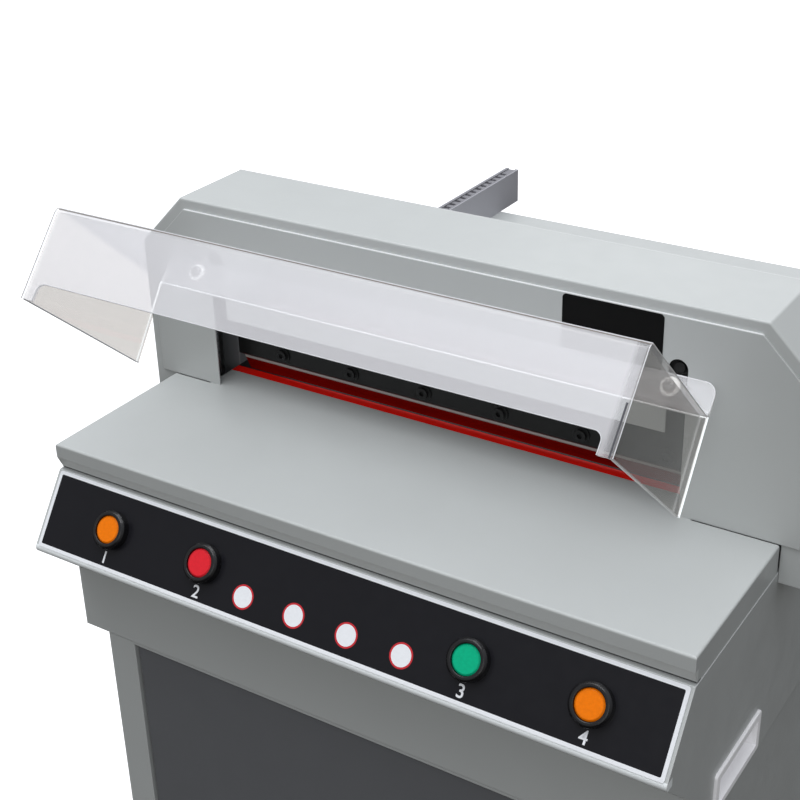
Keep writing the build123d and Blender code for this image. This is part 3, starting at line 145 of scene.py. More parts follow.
# %% Sky
def add_node(tree, kind, inputs=None, **settings):
    """Adds a node to a tree, sets its settings, and fills or links its inputs by name."""
    made = tree.nodes.new(kind)
    for key, value in settings.items():
        setattr(made, key, value)
    for key, value in (inputs or {}).items():
        if isinstance(value, bpy.types.NodeSocket):
            tree.links.new(value, made.inputs[key])
        else:
            made.inputs[key].default_value = value
    return made


world = bpy.data.worlds.new("soft_sky")
world.use_nodes = True
scene.world = world
sky = world.node_tree
sky_direction = add_node(sky, "ShaderNodeTexCoord").outputs["Generated"]
sky_height = add_node(sky, "ShaderNodeSeparateXYZ", {"Vector": sky_direction}).outputs["Z"]
sky_level = add_node(sky, "ShaderNodeMapRange", {"Value": sky_height, "From Min": -1.0, "From Max": 1.0})
sky_ramp = add_node(sky, "ShaderNodeValToRGB", {"Fac": sky_level.outputs["Result"]})
sky_stops = (
    (0.30, (0.040, 0.039, 0.037)),
    (0.50, (0.270, 0.264, 0.250)),
    (0.75, (0.510, 0.520, 0.545)),
    (1.00, (0.885, 0.905, 0.955)),
)
for place, tone in sky_stops[1:-1]:
    sky_ramp.color_ramp.elements.new(place)
for stop, (place, tone) in zip(sky_ramp.color_ramp.elements, sky_stops):
    stop.position = place
    stop.color = (*tone, 1)
sky.links.new(sky_ramp.outputs["Color"], sky.nodes["Background"].inputs["Color"])
print("tones in the sky:", len(sky_stops))

# %% [markdown]
# One broad lamp hangs over the operator's side, and weaker ones stand in front
# and behind, so that the upright faces don't sink into grey. An area lamp is a
# square that shines, and the larger it is the softer its shadows are. The list
# gives each lamp its name, place, side in metres, watts and colour.

# %% Lamps
table_aim = Vector((0, -0.1, 0.9))
lamps = (
    ("overhead_lamp", (-0.35, -0.5, 3.4), 2.2, 50, (0.975, 0.985, 1)),
    ("front_lamp", (1.4, -3.7, 2.1), 2.5, 26, (1, 1, 1)),
    ("rear_lamp", (-0.8, 3.8, 2.2), 2.5, 14, (1, 1, 1)),
)
for name, place, side, watts, color in lamps:
    lamp_data = bpy.data.lights.new(name, "AREA")
    lamp_data.shape = "SQUARE"
    lamp_data.size = side
    lamp_data.energy = watts
    lamp_data.color = color
    lamp = bpy.data.objects.new(name, lamp_data)
    turn = (table_aim - Vector(place)).to_track_quat("-Z", "Y").to_matrix().to_4x4()
    lamp.matrix_world = Matrix.Translation(place) @ turn
    scene.collection.objects.link(lamp)
scene.view_settings.view_transform = "Standard"
print("lamps:", len(lamps), "with", sum(lamp[3] for lamp in lamps), "watts")

# %% [markdown]
# No real surface is quite even. Every finish starts with one main shader, and a
# noise pattern then moves its shade and its gloss a little from place to place.
# All patterns are laid out in Object coordinates, so they stay put. The scale of
# a pattern is about the number of its ripples in a metre. A noise seldom leaves
# its middle values, so only these are spread over the wanted range.

# %% Finishes and patterns
finishes = {}
noise_low, noise_high = 0.35, 0.65


def finish(name, color, roughness, metallic=0.0):
    """A new material with one Principled shader, and its node tree."""
    material = bpy.data.materials.new(name)
    finishes[name] = material
    shader = principled(material)
    tree = material.node_tree
    shader.inputs["Base Color"].default_value = (*color, 1)
    shader.inputs["Roughness"].default_value = roughness
    shader.inputs["Metallic"].default_value = metallic
    return material, tree, shader


def grain(tree, scale, detail=2.0, stretch=(1, 1, 1)):
    """A noise pattern laid out in the part's own metres, and perhaps stretched."""
    where = add_node(tree, "ShaderNodeTexCoord").outputs["Object"]
    placed = add_node(tree, "ShaderNodeMapping", {"Vector": where, "Scale": stretch}).outputs["Vector"]
    noise = {"Vector": placed, "Scale": scale, "Detail": detail}
    return add_node(tree, "ShaderNodeTexNoise", noise).outputs["Fac"]


def spread(tree, value, low, high):
    """Turns the middle values of a pattern into a value from low to high."""
    limits = {"Value": value, "From Min": noise_low, "From Max": noise_high}
    limits.update({"To Min": low, "To Max": high})
    return add_node(tree, "ShaderNodeMapRange", limits).outputs["Result"]


print("middle values of a pattern:", noise_low, "to", noise_high)

# %% [markdown]
# A pattern becomes a shade when it mixes two colours, here a darker and a lighter
# one of the same paint. A Mix node can mix numbers, vectors or colours, and has
# sockets for each of them, so the sockets for colours are picked by their places.

# %% Mixed colours
color_a, color_b, color_out = 6, 7, 2


def blend_colors(tree, factor, first, second):
    """Mixes two colours, each given plainly or as a socket."""
    mix = add_node(tree, "ShaderNodeMix", data_type="RGBA")
    tree.links.new(factor, mix.inputs["Factor"])
    for socket, value in ((mix.inputs[color_a], first), (mix.inputs[color_b], second)):
        if isinstance(value, bpy.types.NodeSocket):
            tree.links.new(value, socket)
        else:
            socket.default_value = (*value, 1)
    return mix.outputs[color_out]


def times(color, factor):
    """A colour made darker or lighter, but never past full."""
    return [min(1.0, part * factor) for part in color]


print("middle grey, a tenth darker:", times((0.5, 0.5, 0.5), 0.9))

# %% [markdown]
# Folded and turned edges are never sharp. Rounding every one of them in the mesh
# would take many faces. The Bevel node rounds only the normal, which is what the
# light sees. It finds the edges too: where the rounded normal and the true one
# disagree there is an edge. A Bump node adds fine relief on top.

# %% Edges and relief
edge_starts, edge_full = 0.995, 0.9


def rounded_normal(tree, radius):
    """The normal of the surface as if each sharp edge were rounded."""
    return add_node(tree, "ShaderNodeBevel", {"Radius": radius}, samples=6).outputs["Normal"]


def edge_mask(tree, normal):
    """Near 1 on sharp edges and 0 on flat faces."""
    true_normal = add_node(tree, "ShaderNodeNewGeometry").outputs["Normal"]
    agreement = add_node(tree, "ShaderNodeVectorMath", {0: normal, 1: true_normal}, operation="DOT_PRODUCT")
    limits = {"Value": agreement.outputs["Value"], "From Min": edge_starts, "From Max": edge_full}
    return add_node(tree, "ShaderNodeMapRange", limits).outputs["Result"]


def bumped(tree, height, strength, distance, normal):
    """The rounded normal with fine relief on top."""
    relief = {"Height": height, "Strength": strength, "Distance": distance, "Normal": normal}
    return add_node(tree, "ShaderNodeBump", relief).outputs["Normal"]


print("an edge starts at", round(degrees(acos(edge_starts))), "degrees between the normals")

# %% [markdown]
# Most of the machine is folded steel sheet with a fine grey powder coat. Close
# up, such paint has a faint orange peel, its shade drifts a little from place
# to place, and it is thinner on the folded edges. The edges are painted paler,
# partly for the thinner paint and partly as a painted highlight where a rounded
# edge catches the light. A patch of another colour is a box in space that the
# paint reads, so no mesh has to be cut for it.

# %% Powder coat
def zone(tree, low, high, soft=0.0008):
    """Near 1 between two corners of a box in the part's own metres, and 0 outside."""
    where = add_node(tree, "ShaderNodeTexCoord").outputs["Object"]
    apart = add_node(tree, "ShaderNodeSeparateXYZ", {"Vector": where})
    inside = None
    for axis, start, end in zip("XYZ", low, high):
        for first, last in ((start, start + soft), (end, end - soft)):
            limits = {"Value": apart.outputs[axis], "From Min": first, "From Max": last}
            wall = add_node(tree, "ShaderNodeMapRange", limits).outputs["Result"]
            if inside is not None:
                pair = {0: inside, 1: wall}
                wall = add_node(tree, "ShaderNodeMath", pair, operation="MULTIPLY").outputs[0]
            inside = wall
    return inside


def powder_coat(name, color, edge_color, roughness, peel=0.08, edge_radius=0.0012, patches=()):
    """Powder coat on steel, with orange peel, a drifting shade and edges painted brighter: thinner paint and a
    painted highlight.
    """
    drift_scale, gloss_scale, peel_scale, peel_deep = 7, 45, 900, 0.0004
    material, tree, shader = finish(name, color, roughness)
    shade = blend_colors(tree, grain(tree, drift_scale), times(color, 0.95), times(color, 1.05))
    for low, high, patch_color in patches:
        shade = blend_colors(tree, zone(tree, low, high), shade, patch_color)
    normal = rounded_normal(tree, edge_radius)
    # The edges get the paler colour: thinner paint and a painted highlight in one.
    worn_and_lit = blend_colors(tree, edge_mask(tree, normal), shade, edge_color)
    tree.links.new(worn_and_lit, shader.inputs["Base Color"])
    gloss = spread(tree, grain(tree, gloss_scale), roughness - 0.05, roughness + 0.05)
    tree.links.new(gloss, shader.inputs["Roughness"])
    peeled = bumped(tree, grain(tree, peel_scale), peel, peel_deep, normal)
    tree.links.new(peeled, shader.inputs["Normal"])
    return material


# The paler grey is for the edges: worn paint and a painted highlight.
grey, worn_and_highlight_grey = (0.47, 0.49, 0.485), (0.66, 0.68, 0.68)


def grey_paint(name, *patches):
    """The grey powder coat of the machine, perhaps with patches."""
    return powder_coat(name, grey, worn_and_highlight_grey, 0.36, patches=patches)


paint_grey = grey_paint("paint_grey")
print("first paint:", paint_grey.name)

# %% [markdown]
# A few faces of the same paint are given another shade. The long nose under the
# panel and the top edge of the face plate are painted pale, a painted highlight
# where these rounded edges catch the light. The fold under the table's lip is
# painted as light as its face, a painted light on a face in shade, and it ends in
# a dark line, a painted shadow in the gap above the panel. The rungs on top of
# each fence are darker than its side. Each patch is a box round the place, given
# by the sizes of the part.

# %% Paints
# Painted highlight, painted light and painted shadow for the patches below.
painted_highlight_pale, painted_light_grey = (0.86, 0.90, 0.91), (0.62, 0.64, 0.63)
painted_shadow_black, painted_highlight_white = (0.03, 0.03, 0.03), (0.97, 0.98, 1.0)
open_side = 0.005


def patch(node, low, high, color):
    """A box of colour, measured from the low corner of a part. None leaves a side open."""
    near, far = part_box(node)
    start = [n - open_side if value is None else n + value for n, value in zip(near, low)]
    end = [f + open_side if value is None else n + value for n, f, value in zip(near, far, high)]
    return start, end, color


casing_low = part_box("body_casing")[0]
overlay_low, overlay_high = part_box("panel_overlay")
nose_up = overlay_low.z - casing_low.z
nose_tall, nose_over, nose_deep = 0.0077, 0.0008, 0.010
nose_start, nose_end = (None, None, nose_up - nose_tall), (None, nose_deep, nose_up + nose_over)
# The nose gets a painted highlight.
paint_nose = grey_paint("paint_nose", patch("body_casing", nose_start, nose_end, painted_highlight_pale))

table_low, table_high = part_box("front_table")
lip_up = table_high.z - table_low.z
fold_foot, fold_head, fold_deep = lip_up - 0.0272, lip_up - 0.0127, 0.0063
gap_shadow_foot, gap_shadow_head, gap_shadow_deep = lip_up - 0.0274, lip_up - 0.0237, 0.0118
# The fold is painted lighter, a painted light, and its foot darker, a painted shadow in the gap.
fold = patch("front_table", (None, None, fold_foot), (None, fold_deep, fold_head), painted_light_grey)
gap_shadow = patch("front_table", (None, None, gap_shadow_foot), (None, gap_shadow_deep, gap_shadow_head), painted_shadow_black)
paint_lip = grey_paint("paint_lip", fold, gap_shadow)

face_low, face_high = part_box("face_plate")
pale_tall = 0.0010
pale_foot = face_high.z - face_low.z - pale_tall
# The plate's top edge gets a painted highlight.
plate_edge_highlight = patch("face_plate", (None, None, pale_foot), (None, None, None), painted_highlight_white)
paint_plate = grey_paint("paint_plate", plate_edge_highlight)

fence_low, fence_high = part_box("side_fence_left")
fence_grey, fence_dark, fence_edge = (0.44, 0.44, 0.475), (0.21, 0.21, 0.23), (0.48, 0.48, 0.51)
fence_rim, rung_deep = 0.0007, 0.012
fence_start = (fence_rim, None, fence_high.z - fence_low.z - rung_deep)
fence_end = (fence_high.x - fence_low.x - fence_rim, None, None)
fences = ("side_fence_left", "side_fence_right")
fence_tops = [patch(node, fence_start, fence_end, fence_dark) for node in fences]
paint_fence = powder_coat("paint_fence", fence_grey, fence_edge, 0.5, edge_radius=0.0006, patches=fence_tops)

powder_coat("paint_charcoal", (0.13, 0.135, 0.144), (0.19, 0.195, 0.20), 0.5)
powder_coat("cast_grey", (0.17, 0.18, 0.19), (0.25, 0.26, 0.27), 0.55, peel=0.4)
print("millimetres up: nose", round(1000 * nose_up), "lip", round(1000 * lip_up))

# %% [markdown]
# The black parts are of three kinds: printed film, such as the panel's overlay,
# mouldings, and steel with a black oxide skin. They differ in gloss and in the
# size of their grain more than in colour. The red stick and the pale mouldings
# are made the same way. The pale ones are also given a glow of their own, a
# painted light that lifts them where they stand in shade, the nylon most of all.

# %% Mouldings and blackened steel
def moulding(name, color, roughness, texture=0.05, scale=700, shine=0.5, rounding=0.0006):
    """A moulded plastic with a fine spark-eroded texture."""
    drift_scale, gloss_scale, texture_deep = 30, 120, 0.0003
    material, tree, shader = finish(name, color, roughness)
    shade = blend_colors(tree, grain(tree, drift_scale), times(color, 0.9), times(color, 1.1))
    tree.links.new(shade, shader.inputs["Base Color"])
    gloss = spread(tree, grain(tree, gloss_scale), roughness - 0.04, roughness + 0.04)
    tree.links.new(gloss, shader.inputs["Roughness"])
    shader.inputs["Specular IOR Level"].default_value = shine
    normal = rounded_normal(tree, rounding)
    textured = bumped(tree, grain(tree, scale), texture, texture_deep, normal)
    tree.links.new(textured, shader.inputs["Normal"])
    return material


moulding("panel_black", (0.0065, 0.0065, 0.0090), 0.33, texture=0.03, shine=0.25)
moulding("plastic_black", (0.005, 0.005, 0.006), 0.2, rounding=0.0016)
moulding("rubber_black", (0.018, 0.018, 0.018), 0.75, texture=0.3)
moulding("stick_red", (0.92, 0.008, 0.002), 0.4, shine=0.1)
film_black = moulding("film_black", (0.0035, 0.0035, 0.0035), 0.45, texture=0.02, shine=0.12)
steel_black = moulding("steel_black", (0.007, 0.007, 0.007), 0.38, texture=0.12, scale=500, shine=0.3)
plastic_pale = moulding("plastic_pale", (0.86, 0.86, 0.88), 0.38)
nylon_white = moulding("nylon_white", (0.86, 0.86, 0.84), 0.45)
# The glow of the pale plastics is painted light; they hold no lamp.
for pale_plastic, painted_glow in ((plastic_pale, 0.07), (nylon_white, 0.8)):
    pale_shader = principled(pale_plastic)
    pale_shader.inputs["Emission Color"].default_value = (0.90, 0.90, 0.91, 1)
    pale_shader.inputs["Emission Strength"].default_value = painted_glow
print("finishes so far:", len(finishes))

# %% [markdown]
# Bare metal shows how it was cut. A ground blade has long scratches along its
# edge, a turned rod has rings, and an anodised extrusion has faint lines from
# the die. One noise, stretched hard along a direction, makes all three. The
# blade's bevel is honed to a mirror, and the flat above it is only ground satin,
# so the blade's shader changes from one to the other at the top of the bevel.

# %% Metals
def machined(name, color, roughness, stretch, depth=0.12, metallic=1.0, uneven=0.07, rounding=0.0005):
    """Metal with fine tool marks along one direction."""
    mark_scale, mark_deep = 260, 0.0002
    material, tree, shader = finish(name, color, roughness, metallic)
    marks = grain(tree, mark_scale, detail=3, stretch=stretch)
    shade = blend_colors(tree, marks, times(color, 0.86), times(color, 1.1))
    tree.links.new(shade, shader.inputs["Base Color"])
    gloss = spread(tree, marks, roughness - uneven, roughness + uneven)
    tree.links.new(gloss, shader.inputs["Roughness"])
    normal = rounded_normal(tree, rounding)
    tree.links.new(bumped(tree, marks, depth, mark_deep, normal), shader.inputs["Normal"])
    return material


blade_low, blade_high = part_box("knife_blade")
steel_bright = machined(
    "steel_bright", (0.24, 0.225, 0.215), 0.06, (0.03, 1, 1), depth=0.01, uneven=0.03, rounding=0.00005
)
blade_tree = steel_bright.node_tree
blade_shader = principled(steel_bright)
beyond = Vector((open_side, open_side, open_side))
bevel_tall = 0.0135
above_bevel = blade_low - beyond
above_bevel.z = blade_low.z + bevel_tall
bevel_fade = 0.002
flat_zone = zone(blade_tree, above_bevel, blade_high + beyond, soft=bevel_fade)
honed_steel = blade_shader.inputs["Base Color"].links[0].from_socket
satin_steel = (0.42, 0.40, 0.385)
two_steels = blend_colors(blade_tree, flat_zone, honed_steel, satin_steel)
blade_tree.links.new(two_steels, blade_shader.inputs["Base Color"])
for key, on_bevel, on_flat in (("Roughness", 0.06, 0.5), ("Metallic", 1.0, 0.1)):
    limits = {"Value": flat_zone, "To Min": on_bevel, "To Max": on_flat}
    ranged = add_node(blade_tree, "ShaderNodeMapRange", limits)
    blade_tree.links.new(ranged.outputs["Result"], blade_shader.inputs[key])

machined("steel_plain", (0.42, 0.43, 0.44), 0.32, (1, 1, 4))
machined("aluminium_grey", (0.44, 0.44, 0.475), 0.5, (1, 0.05, 1), metallic=0)
chrome = machined("chrome", (0.55, 0.55, 0.55), 0.15, (1, 1, 1), depth=0.03)
print("blade", round(1000 * (blade_high.z - blade_low.z)), "mm tall, bevel", round(1000 * bevel_tall, 1))

# %% [markdown]
# Clear acrylic lets most light pass and mirrors some of it at low angles. Its
# faces are parallel, so what is behind it isn't bent, and a Transparent shader
# stands for the clear part. The Facing value of a surface, to the fifth power,
# is close to how a clear sheet turns into a mirror, and it treats the front and
# the back of a face alike. Scratches and dust add a pale veil: thin on the two
# cheeks and thicker on the folded sheet. On its flange and its front, which face
# the lamps, the veil is thicker still, a painted reflection of the lamps. This
# thick veil ends just before the right end of the front.

# %% Clear acrylic
straight_mirror = 0.04
cloud_scale, veil_fade = 9, 0.004


def clear_sheet(name, veil, tint, haze, mirror_roughness, thicker=()):
    """A thin sheet: partly see-through, partly a pale veil, glossy at low angles."""
    material, tree, shader = finish(name, haze, 0.4)
    shade = blend_colors(tree, grain(tree, cloud_scale), times(haze, 0.95), haze)
    tree.links.new(shade, shader.inputs["Base Color"])
    clear = add_node(tree, "ShaderNodeBsdfTransparent", {"Color": (*tint, 1)})
    for low, high, thick_veil in thicker:
        veils = {"Value": zone(tree, low, high, soft=veil_fade), "To Min": veil, "To Max": thick_veil}
        veil = add_node(tree, "ShaderNodeMapRange", veils).outputs["Result"]
    veiled = {"Fac": veil, 1: clear.outputs["BSDF"], 2: shader.outputs["BSDF"]}
    body = add_node(tree, "ShaderNodeMixShader", veiled)
    mirror = add_node(tree, "ShaderNodeBsdfGlossy", {"Color": (1, 1, 1, 1), "Roughness": mirror_roughness})
    facing = add_node(tree, "ShaderNodeLayerWeight", {"Blend": 0.5}).outputs["Facing"]
    steep = add_node(tree, "ShaderNodeMath", {0: facing, 1: 5.0}, operation="POWER").outputs["Value"]
    mirrored = {"Value": steep, "To Min": straight_mirror}
    share = add_node(tree, "ShaderNodeMapRange", mirrored).outputs["Result"]
    coated = {"Fac": share, 1: body.outputs["Shader"], 2: mirror.outputs["BSDF"]}
    both = add_node(tree, "ShaderNodeMixShader", coated)
    tree.links.new(both.outputs["Shader"], tree.nodes["Material Output"].inputs["Surface"])
    return material


acrylic_clear = clear_sheet("acrylic_clear", 0.06, (0.775, 0.760, 0.742), (0.80, 0.78, 0.77), 0.06)
hood_low, hood_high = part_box("guard_hood")
clear_end, front_deep, flange_deep = 0.0065, 0.060, 0.021
front_end = (hood_high.x - clear_end, hood_low.y + front_deep, hood_high.z + open_side)
flange_start = (hood_low.x - open_side, hood_high.y - flange_deep, hood_low.z)
# The thick veils on the front and the flange are a painted reflection of the lamps.
veils_and_lamp_reflection = ((hood_low - beyond, front_end, 0.285), (flange_start, hood_high + beyond, 0.20))
acrylic_milky = clear_sheet(
    "acrylic_milky", 0.13, (0.95, 0.95, 0.955), (0.94, 0.935, 0.965), 0.3, thicker=veils_and_lamp_reflection
)
print("guard sheets ready:", acrylic_clear.name, acrylic_milky.name)

# %% [markdown]
# The lens of a lit push button is a coloured dome over a lamp. The lamp makes
# it glow a little, and small prisms inside break the glow up. A cell pattern at
# prism size gives that mottled look. The rim is deeper, as it is seen edge-on.

# %% Button lenses
def lens(name, color, glow):
    """A glowing plastic lens with small prisms under its skin."""
    prism_scale, rim_wide, rounding = 420, 0.0022, 0.0008
    material, tree, shader = finish(name, color, 0.3)
    shader.inputs["Specular IOR Level"].default_value = 0.15
    where = add_node(tree, "ShaderNodeTexCoord").outputs["Object"]
    cells = {"Vector": where, "Scale": prism_scale}
    prisms = add_node(tree, "ShaderNodeTexVoronoi", cells).outputs["Distance"]
    shade = blend_colors(tree, prisms, times(color, 1.06), times(color, 0.93))
    rim = edge_mask(tree, rounded_normal(tree, rim_wide))
    shade = blend_colors(tree, rim, shade, times(color, 0.55))
    tree.links.new(shade, shader.inputs["Base Color"])
    tree.links.new(shade, shader.inputs["Emission Color"])
    shader.inputs["Emission Strength"].default_value = glow
    tree.links.new(rounded_normal(tree, rounding), shader.inputs["Normal"])
    return material


lens("lens_orange", (0.70, 0.155, 0.001), 0.21)
lens("lens_red", (0.57, 0.016, 0.026), 0.24)
lens("lens_green", (0.001, 0.33, 0.17), 0.24)
print("finishes so far:", len(finishes))

# %% [markdown]
# The record names a finish for every part, such as paint_grey for the casing.
# The frame brings plain materials of the same names, so the finishes above are
# kept in a list of their own, and one loop puts them in the place of the plain ones.
# Then the parts with patches get their own paint, and the bed under the clamp is
# made blackened steel, a painted shade for the gap under the knife.

# %% Dress the frame
for part in frame["record"]["subparts"]:
    node = nodes[part["node"]]
    node.data.materials.clear()
    node.data.materials.append(finishes[part["material_slot"]])
own_paints = {"body_casing": paint_nose, "front_table": paint_lip, "face_plate": paint_plate}
own_paints.update({fence: paint_fence for fence in fences})
# The bed is made black as a painted shade under the knife.
own_paints["bed_plate"] = steel_black
for name, paint in own_paints.items():
    nodes[name].data.materials[0] = paint

# %% [markdown]
# Pieces are added by small makers. A piece is a mesh at the origin with its
# place in its vertices, a material and a body to ride on.

# %% A maker for pieces
def add_piece(name, mesh, material, body):
    """Puts a finished mesh in the scene as a piece that rides on a body."""
    mesh.materials.clear()
    mesh.materials.append(material)
    piece = bpy.data.objects.new(name, mesh)
    scene.collection.objects.link(piece)
    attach(piece, body)
    print("piece", name, "faces", len(mesh.polygons))
    return piece


def plain_print(name, color):
    """Printing ink: a flat colour with a slightly uneven film."""
    film_scale = 400
    material, tree, shader = finish(name, color, 0.45)
    shade = blend_colors(tree, grain(tree, film_scale), times(color, 0.93), times(color, 1.04))
    tree.links.new(shade, shader.inputs["Base Color"])
    return material


ink_white = plain_print("ink_white", (0.80, 0.82, 0.85))
ink_red = plain_print("ink_red", (0.55, 0.01, 0.02))
print("inks ready:", ink_white.name, ink_red.name)

# %% [markdown]
# The sloped panel gives a frame of its own for everything printed on it: across
# runs along the knife, up climbs the slope, and out points at the operator. The
# overlay's box says where its top edge is, and the slope does the rest.

# %% The panel's own frame
joints = {joint["name"]: joint for joint in frame["joints"]}
panel_out = -Vector(joints["power_press"]["axis"])
panel_up = panel_out.cross(Vector((1, 0, 0)))
overlay_thick = 0.0006
overlay_tall = (overlay_high.z - overlay_low.z - overlay_thick * panel_out.z) / panel_up.z
overlay_half = (overlay_high.x - overlay_low.x) / 2
overlay_top = Vector((0, overlay_high.y + overlay_thick * panel_out.y, overlay_high.z))
overlay_middle = overlay_top - panel_up * overlay_tall / 2


def on_panel(across, up, out=0.0):
    """A point on the panel: across and up from its middle, out from its face."""
    return overlay_middle + Vector((across, 0, 0)) + panel_up * up + panel_out * out


print("panel face", round(2000 * overlay_half), "by", round(1000 * overlay_tall), "millimetres")

# %% [markdown]
# The white line round the panel is printed, and runs over the edge of the film.
# It could be drawn by the shader, but a thin frame of its own stays crisp from
# any distance. Two rounded rectangles are bridged into a flat ring that lies a
# hair above the overlay, and a low wall closes it round the outside.

# %% Printed line
def rounded_loop(half_wide, half_tall, radius, steps=6):
    """Points round a rectangle with rounded corners, counter-clockwise."""
    loop = []
    for corner, (sx, sy) in enumerate(((1, 1), (-1, 1), (-1, -1), (1, -1))):
        for step in range(steps + 1):
            angle = (corner + step / steps) * pi / 2
            x = sx * (half_wide - radius) + radius * cos(angle)
            y = sy * (half_tall - radius) + radius * sin(angle)
            loop.append((x, y))
    return loop


print_lift = 0.00008
line_wide, line_over = 0.0028, 0.0003
outer_round, inner_round = 0.0023, 0.0012
outer = rounded_loop(overlay_half + line_over, overlay_tall / 2 + line_over, outer_round)
inner = rounded_loop(overlay_half - line_wide, overlay_tall / 2 - line_wide, inner_round)
count = len(outer)
ring_points = [on_panel(x, y, print_lift) for x, y in outer + inner]
ring_points += [on_panel(x, y, print_lift - overlay_thick) for x, y in outer]
ring_faces = []
for i in range(count):
    after = (i + 1) % count
    ring_faces.append((i, after, count + after, count + i))
    ring_faces.append((2 * count + i, 2 * count + after, after, i))
ring_mesh = bpy.data.meshes.new("panel_line")
ring_mesh.from_pydata(ring_points, [], ring_faces)
add_piece("panel_line", ring_mesh, ink_white, "frame")

# %% [markdown]
# Geometry Nodes build a mesh from a few sizes, as a recipe does. A script adds
# the named inputs of the tree, runs it as a modifier on a mesh of points, and
# copies what comes out as a plain mesh. Instances are made real at the end of a
# tree, because a finished piece may hold only real faces.

# %% Geometry trees
def new_tree(name, inputs, takes_mesh=False):
    """An empty geometry tree with named inputs and one geometry output."""
    tree = bpy.data.node_groups.new(name, "GeometryNodeTree")
    if takes_mesh:
        tree.interface.new_socket("Mesh", in_out="INPUT", socket_type="NodeSocketGeometry")
    for key, value in inputs.items():
        socket = tree.interface.new_socket(key, in_out="INPUT", socket_type="NodeSocketFloat")
        socket.default_value = value
    tree.interface.new_socket("Geometry", in_out="OUTPUT", socket_type="NodeSocketGeometry")
    return tree, tree.nodes.new("NodeGroupInput"), tree.nodes.new("NodeGroupOutput")


def finished(tree, result, geometry, material):
    """Ends a tree: instances are made real and get their material."""
    real = add_node(tree, "GeometryNodeRealizeInstances", {"Geometry": geometry})
    dressed = {"Geometry": real.outputs["Geometry"], "Material": material}
    done = add_node(tree, "GeometryNodeSetMaterial", dressed)
    tree.links.new(done.outputs["Geometry"], result.inputs["Geometry"])
    return tree


def grown(tree, name, values, points=(), links=()):
    """Runs a geometry tree on a mesh of points and links, and returns the plain mesh it makes."""
    start = bpy.data.meshes.new(name)
    start.from_pydata(points, links, [])
    holder = bpy.data.objects.new(name, start)
    scene.collection.objects.link(holder)
    modifier = holder.modifiers.new(name, "NODES")
    modifier.node_group = tree
    for item in tree.interface.items_tree:
        if item.in_out == "INPUT" and item.name in values:
            modifier[item.identifier] = values[item.name]
    bpy.context.view_layer.update()
    evaluated = holder.evaluated_get(bpy.context.evaluated_depsgraph_get())
    mesh = bpy.data.meshes.new_from_object(evaluated)
    bpy.data.objects.remove(holder)
    mesh.name = name
    return mesh


print("helpers ready:", new_tree.__name__, finished.__name__, grown.__name__)

# %% [markdown]
# Four plain white discs with a red rim stand in a row between the middle buttons.
# They could be four meshes. The same disc is wanted four times, so a tree places
# it: a row of points with a disc on each. The rim is a wider red disc below.

# %% Disc row
def row_of_discs(material):
    """A tree that lays a row of flat discs along X, centred on the origin."""
    tree, given, result = new_tree("disc_row", {"count": 4.0, "pitch": 0.05, "radius": 0.009})
    steps = add_node(tree, "ShaderNodeMath", {0: given.outputs["count"], 1: 1.0}, operation="SUBTRACT")
    factors = {0: steps.outputs[0], 1: given.outputs["pitch"]}
    reach = add_node(tree, "ShaderNodeMath", factors, operation="MULTIPLY")
    half = add_node(tree, "ShaderNodeMath", {0: reach.outputs[0], 1: -0.5}, operation="MULTIPLY")
    start = add_node(tree, "ShaderNodeCombineXYZ", {"X": half.outputs[0]})
    step = add_node(tree, "ShaderNodeCombineXYZ", {"X": given.outputs["pitch"]})
    line = {"Count": given.outputs["count"], "Start Location": start.outputs[0], "Offset": step.outputs[0]}
    row = add_node(tree, "GeometryNodeMeshLine", line)
    round_disc = {"Vertices": 48, "Radius": given.outputs["radius"]}
    disc = add_node(tree, "GeometryNodeMeshCircle", round_disc, fill_type="NGON")
    pairs = {"Points": row.outputs["Mesh"], "Instance": disc.outputs["Mesh"]}
    placed = add_node(tree, "GeometryNodeInstanceOnPoints", pairs)
    return finished(tree, result, placed.outputs["Instances"], material)


def lay_on_panel(mesh, across, up, out):
    """Turns a mesh drawn in the XY plane so that it lies on the panel."""
    turn = Matrix((Vector((1, 0, 0)), panel_up, panel_out)).transposed().to_4x4()
    mesh.transform(Matrix.Translation(on_panel(across, up, out)) @ turn)
    return mesh


disc_pitch, disc_rim, disc_radius, disc_drop = 0.051, 0.0103, 0.0088, 0.0148
layers = (("disc_rims", disc_rim, ink_red, 1), ("disc_faces", disc_radius, ink_white, 2))
for name, radius, ink, lift in layers:
    discs = grown(row_of_discs(ink), name, {"pitch": disc_pitch, "radius": radius})
    lay_on_panel(discs, 0, -disc_drop, lift * print_lift)
    add_piece(name, discs, ink, "frame")

# %% [markdown]
# Each button has a plain printed number under its collar, from left to right,
# with strokes a little bolder than the font's own. A text object is turned into
# a mesh before it is laid on the slope, because a finished piece keeps its place
# in its mesh.

# %% Button numbers
def number_mesh(text, height):
    """A flat mesh of a short number, centred on the origin."""
    curve = bpy.data.curves.new("number", "FONT")
    curve.body = text
    curve.size = height
    curve.align_x = "CENTER"
    curve.align_y = "CENTER"
    curve.offset = height / 90
    holder = bpy.data.objects.new("number", curve)
    scene.collection.objects.link(holder)
    bpy.context.view_layer.update()
    mesh = bpy.data.meshes.new_from_object(holder.evaluated_get(bpy.context.evaluated_depsgraph_get()))
    bpy.data.objects.remove(holder)
    return mesh


number_height = 0.0150
number_drop = 0.0246
buttons = ("button_left_cut", "button_power", "button_reset", "button_right_cut")
for number, button in enumerate(buttons, start=1):
    low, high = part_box(button)
    digits = number_mesh(str(number), number_height)
    digits.name = f"button_number_{number}"
    lay_on_panel(digits, (low.x + high.x) / 2, -number_drop, print_lift)
    add_piece(digits.name, digits, ink_white, "frame")

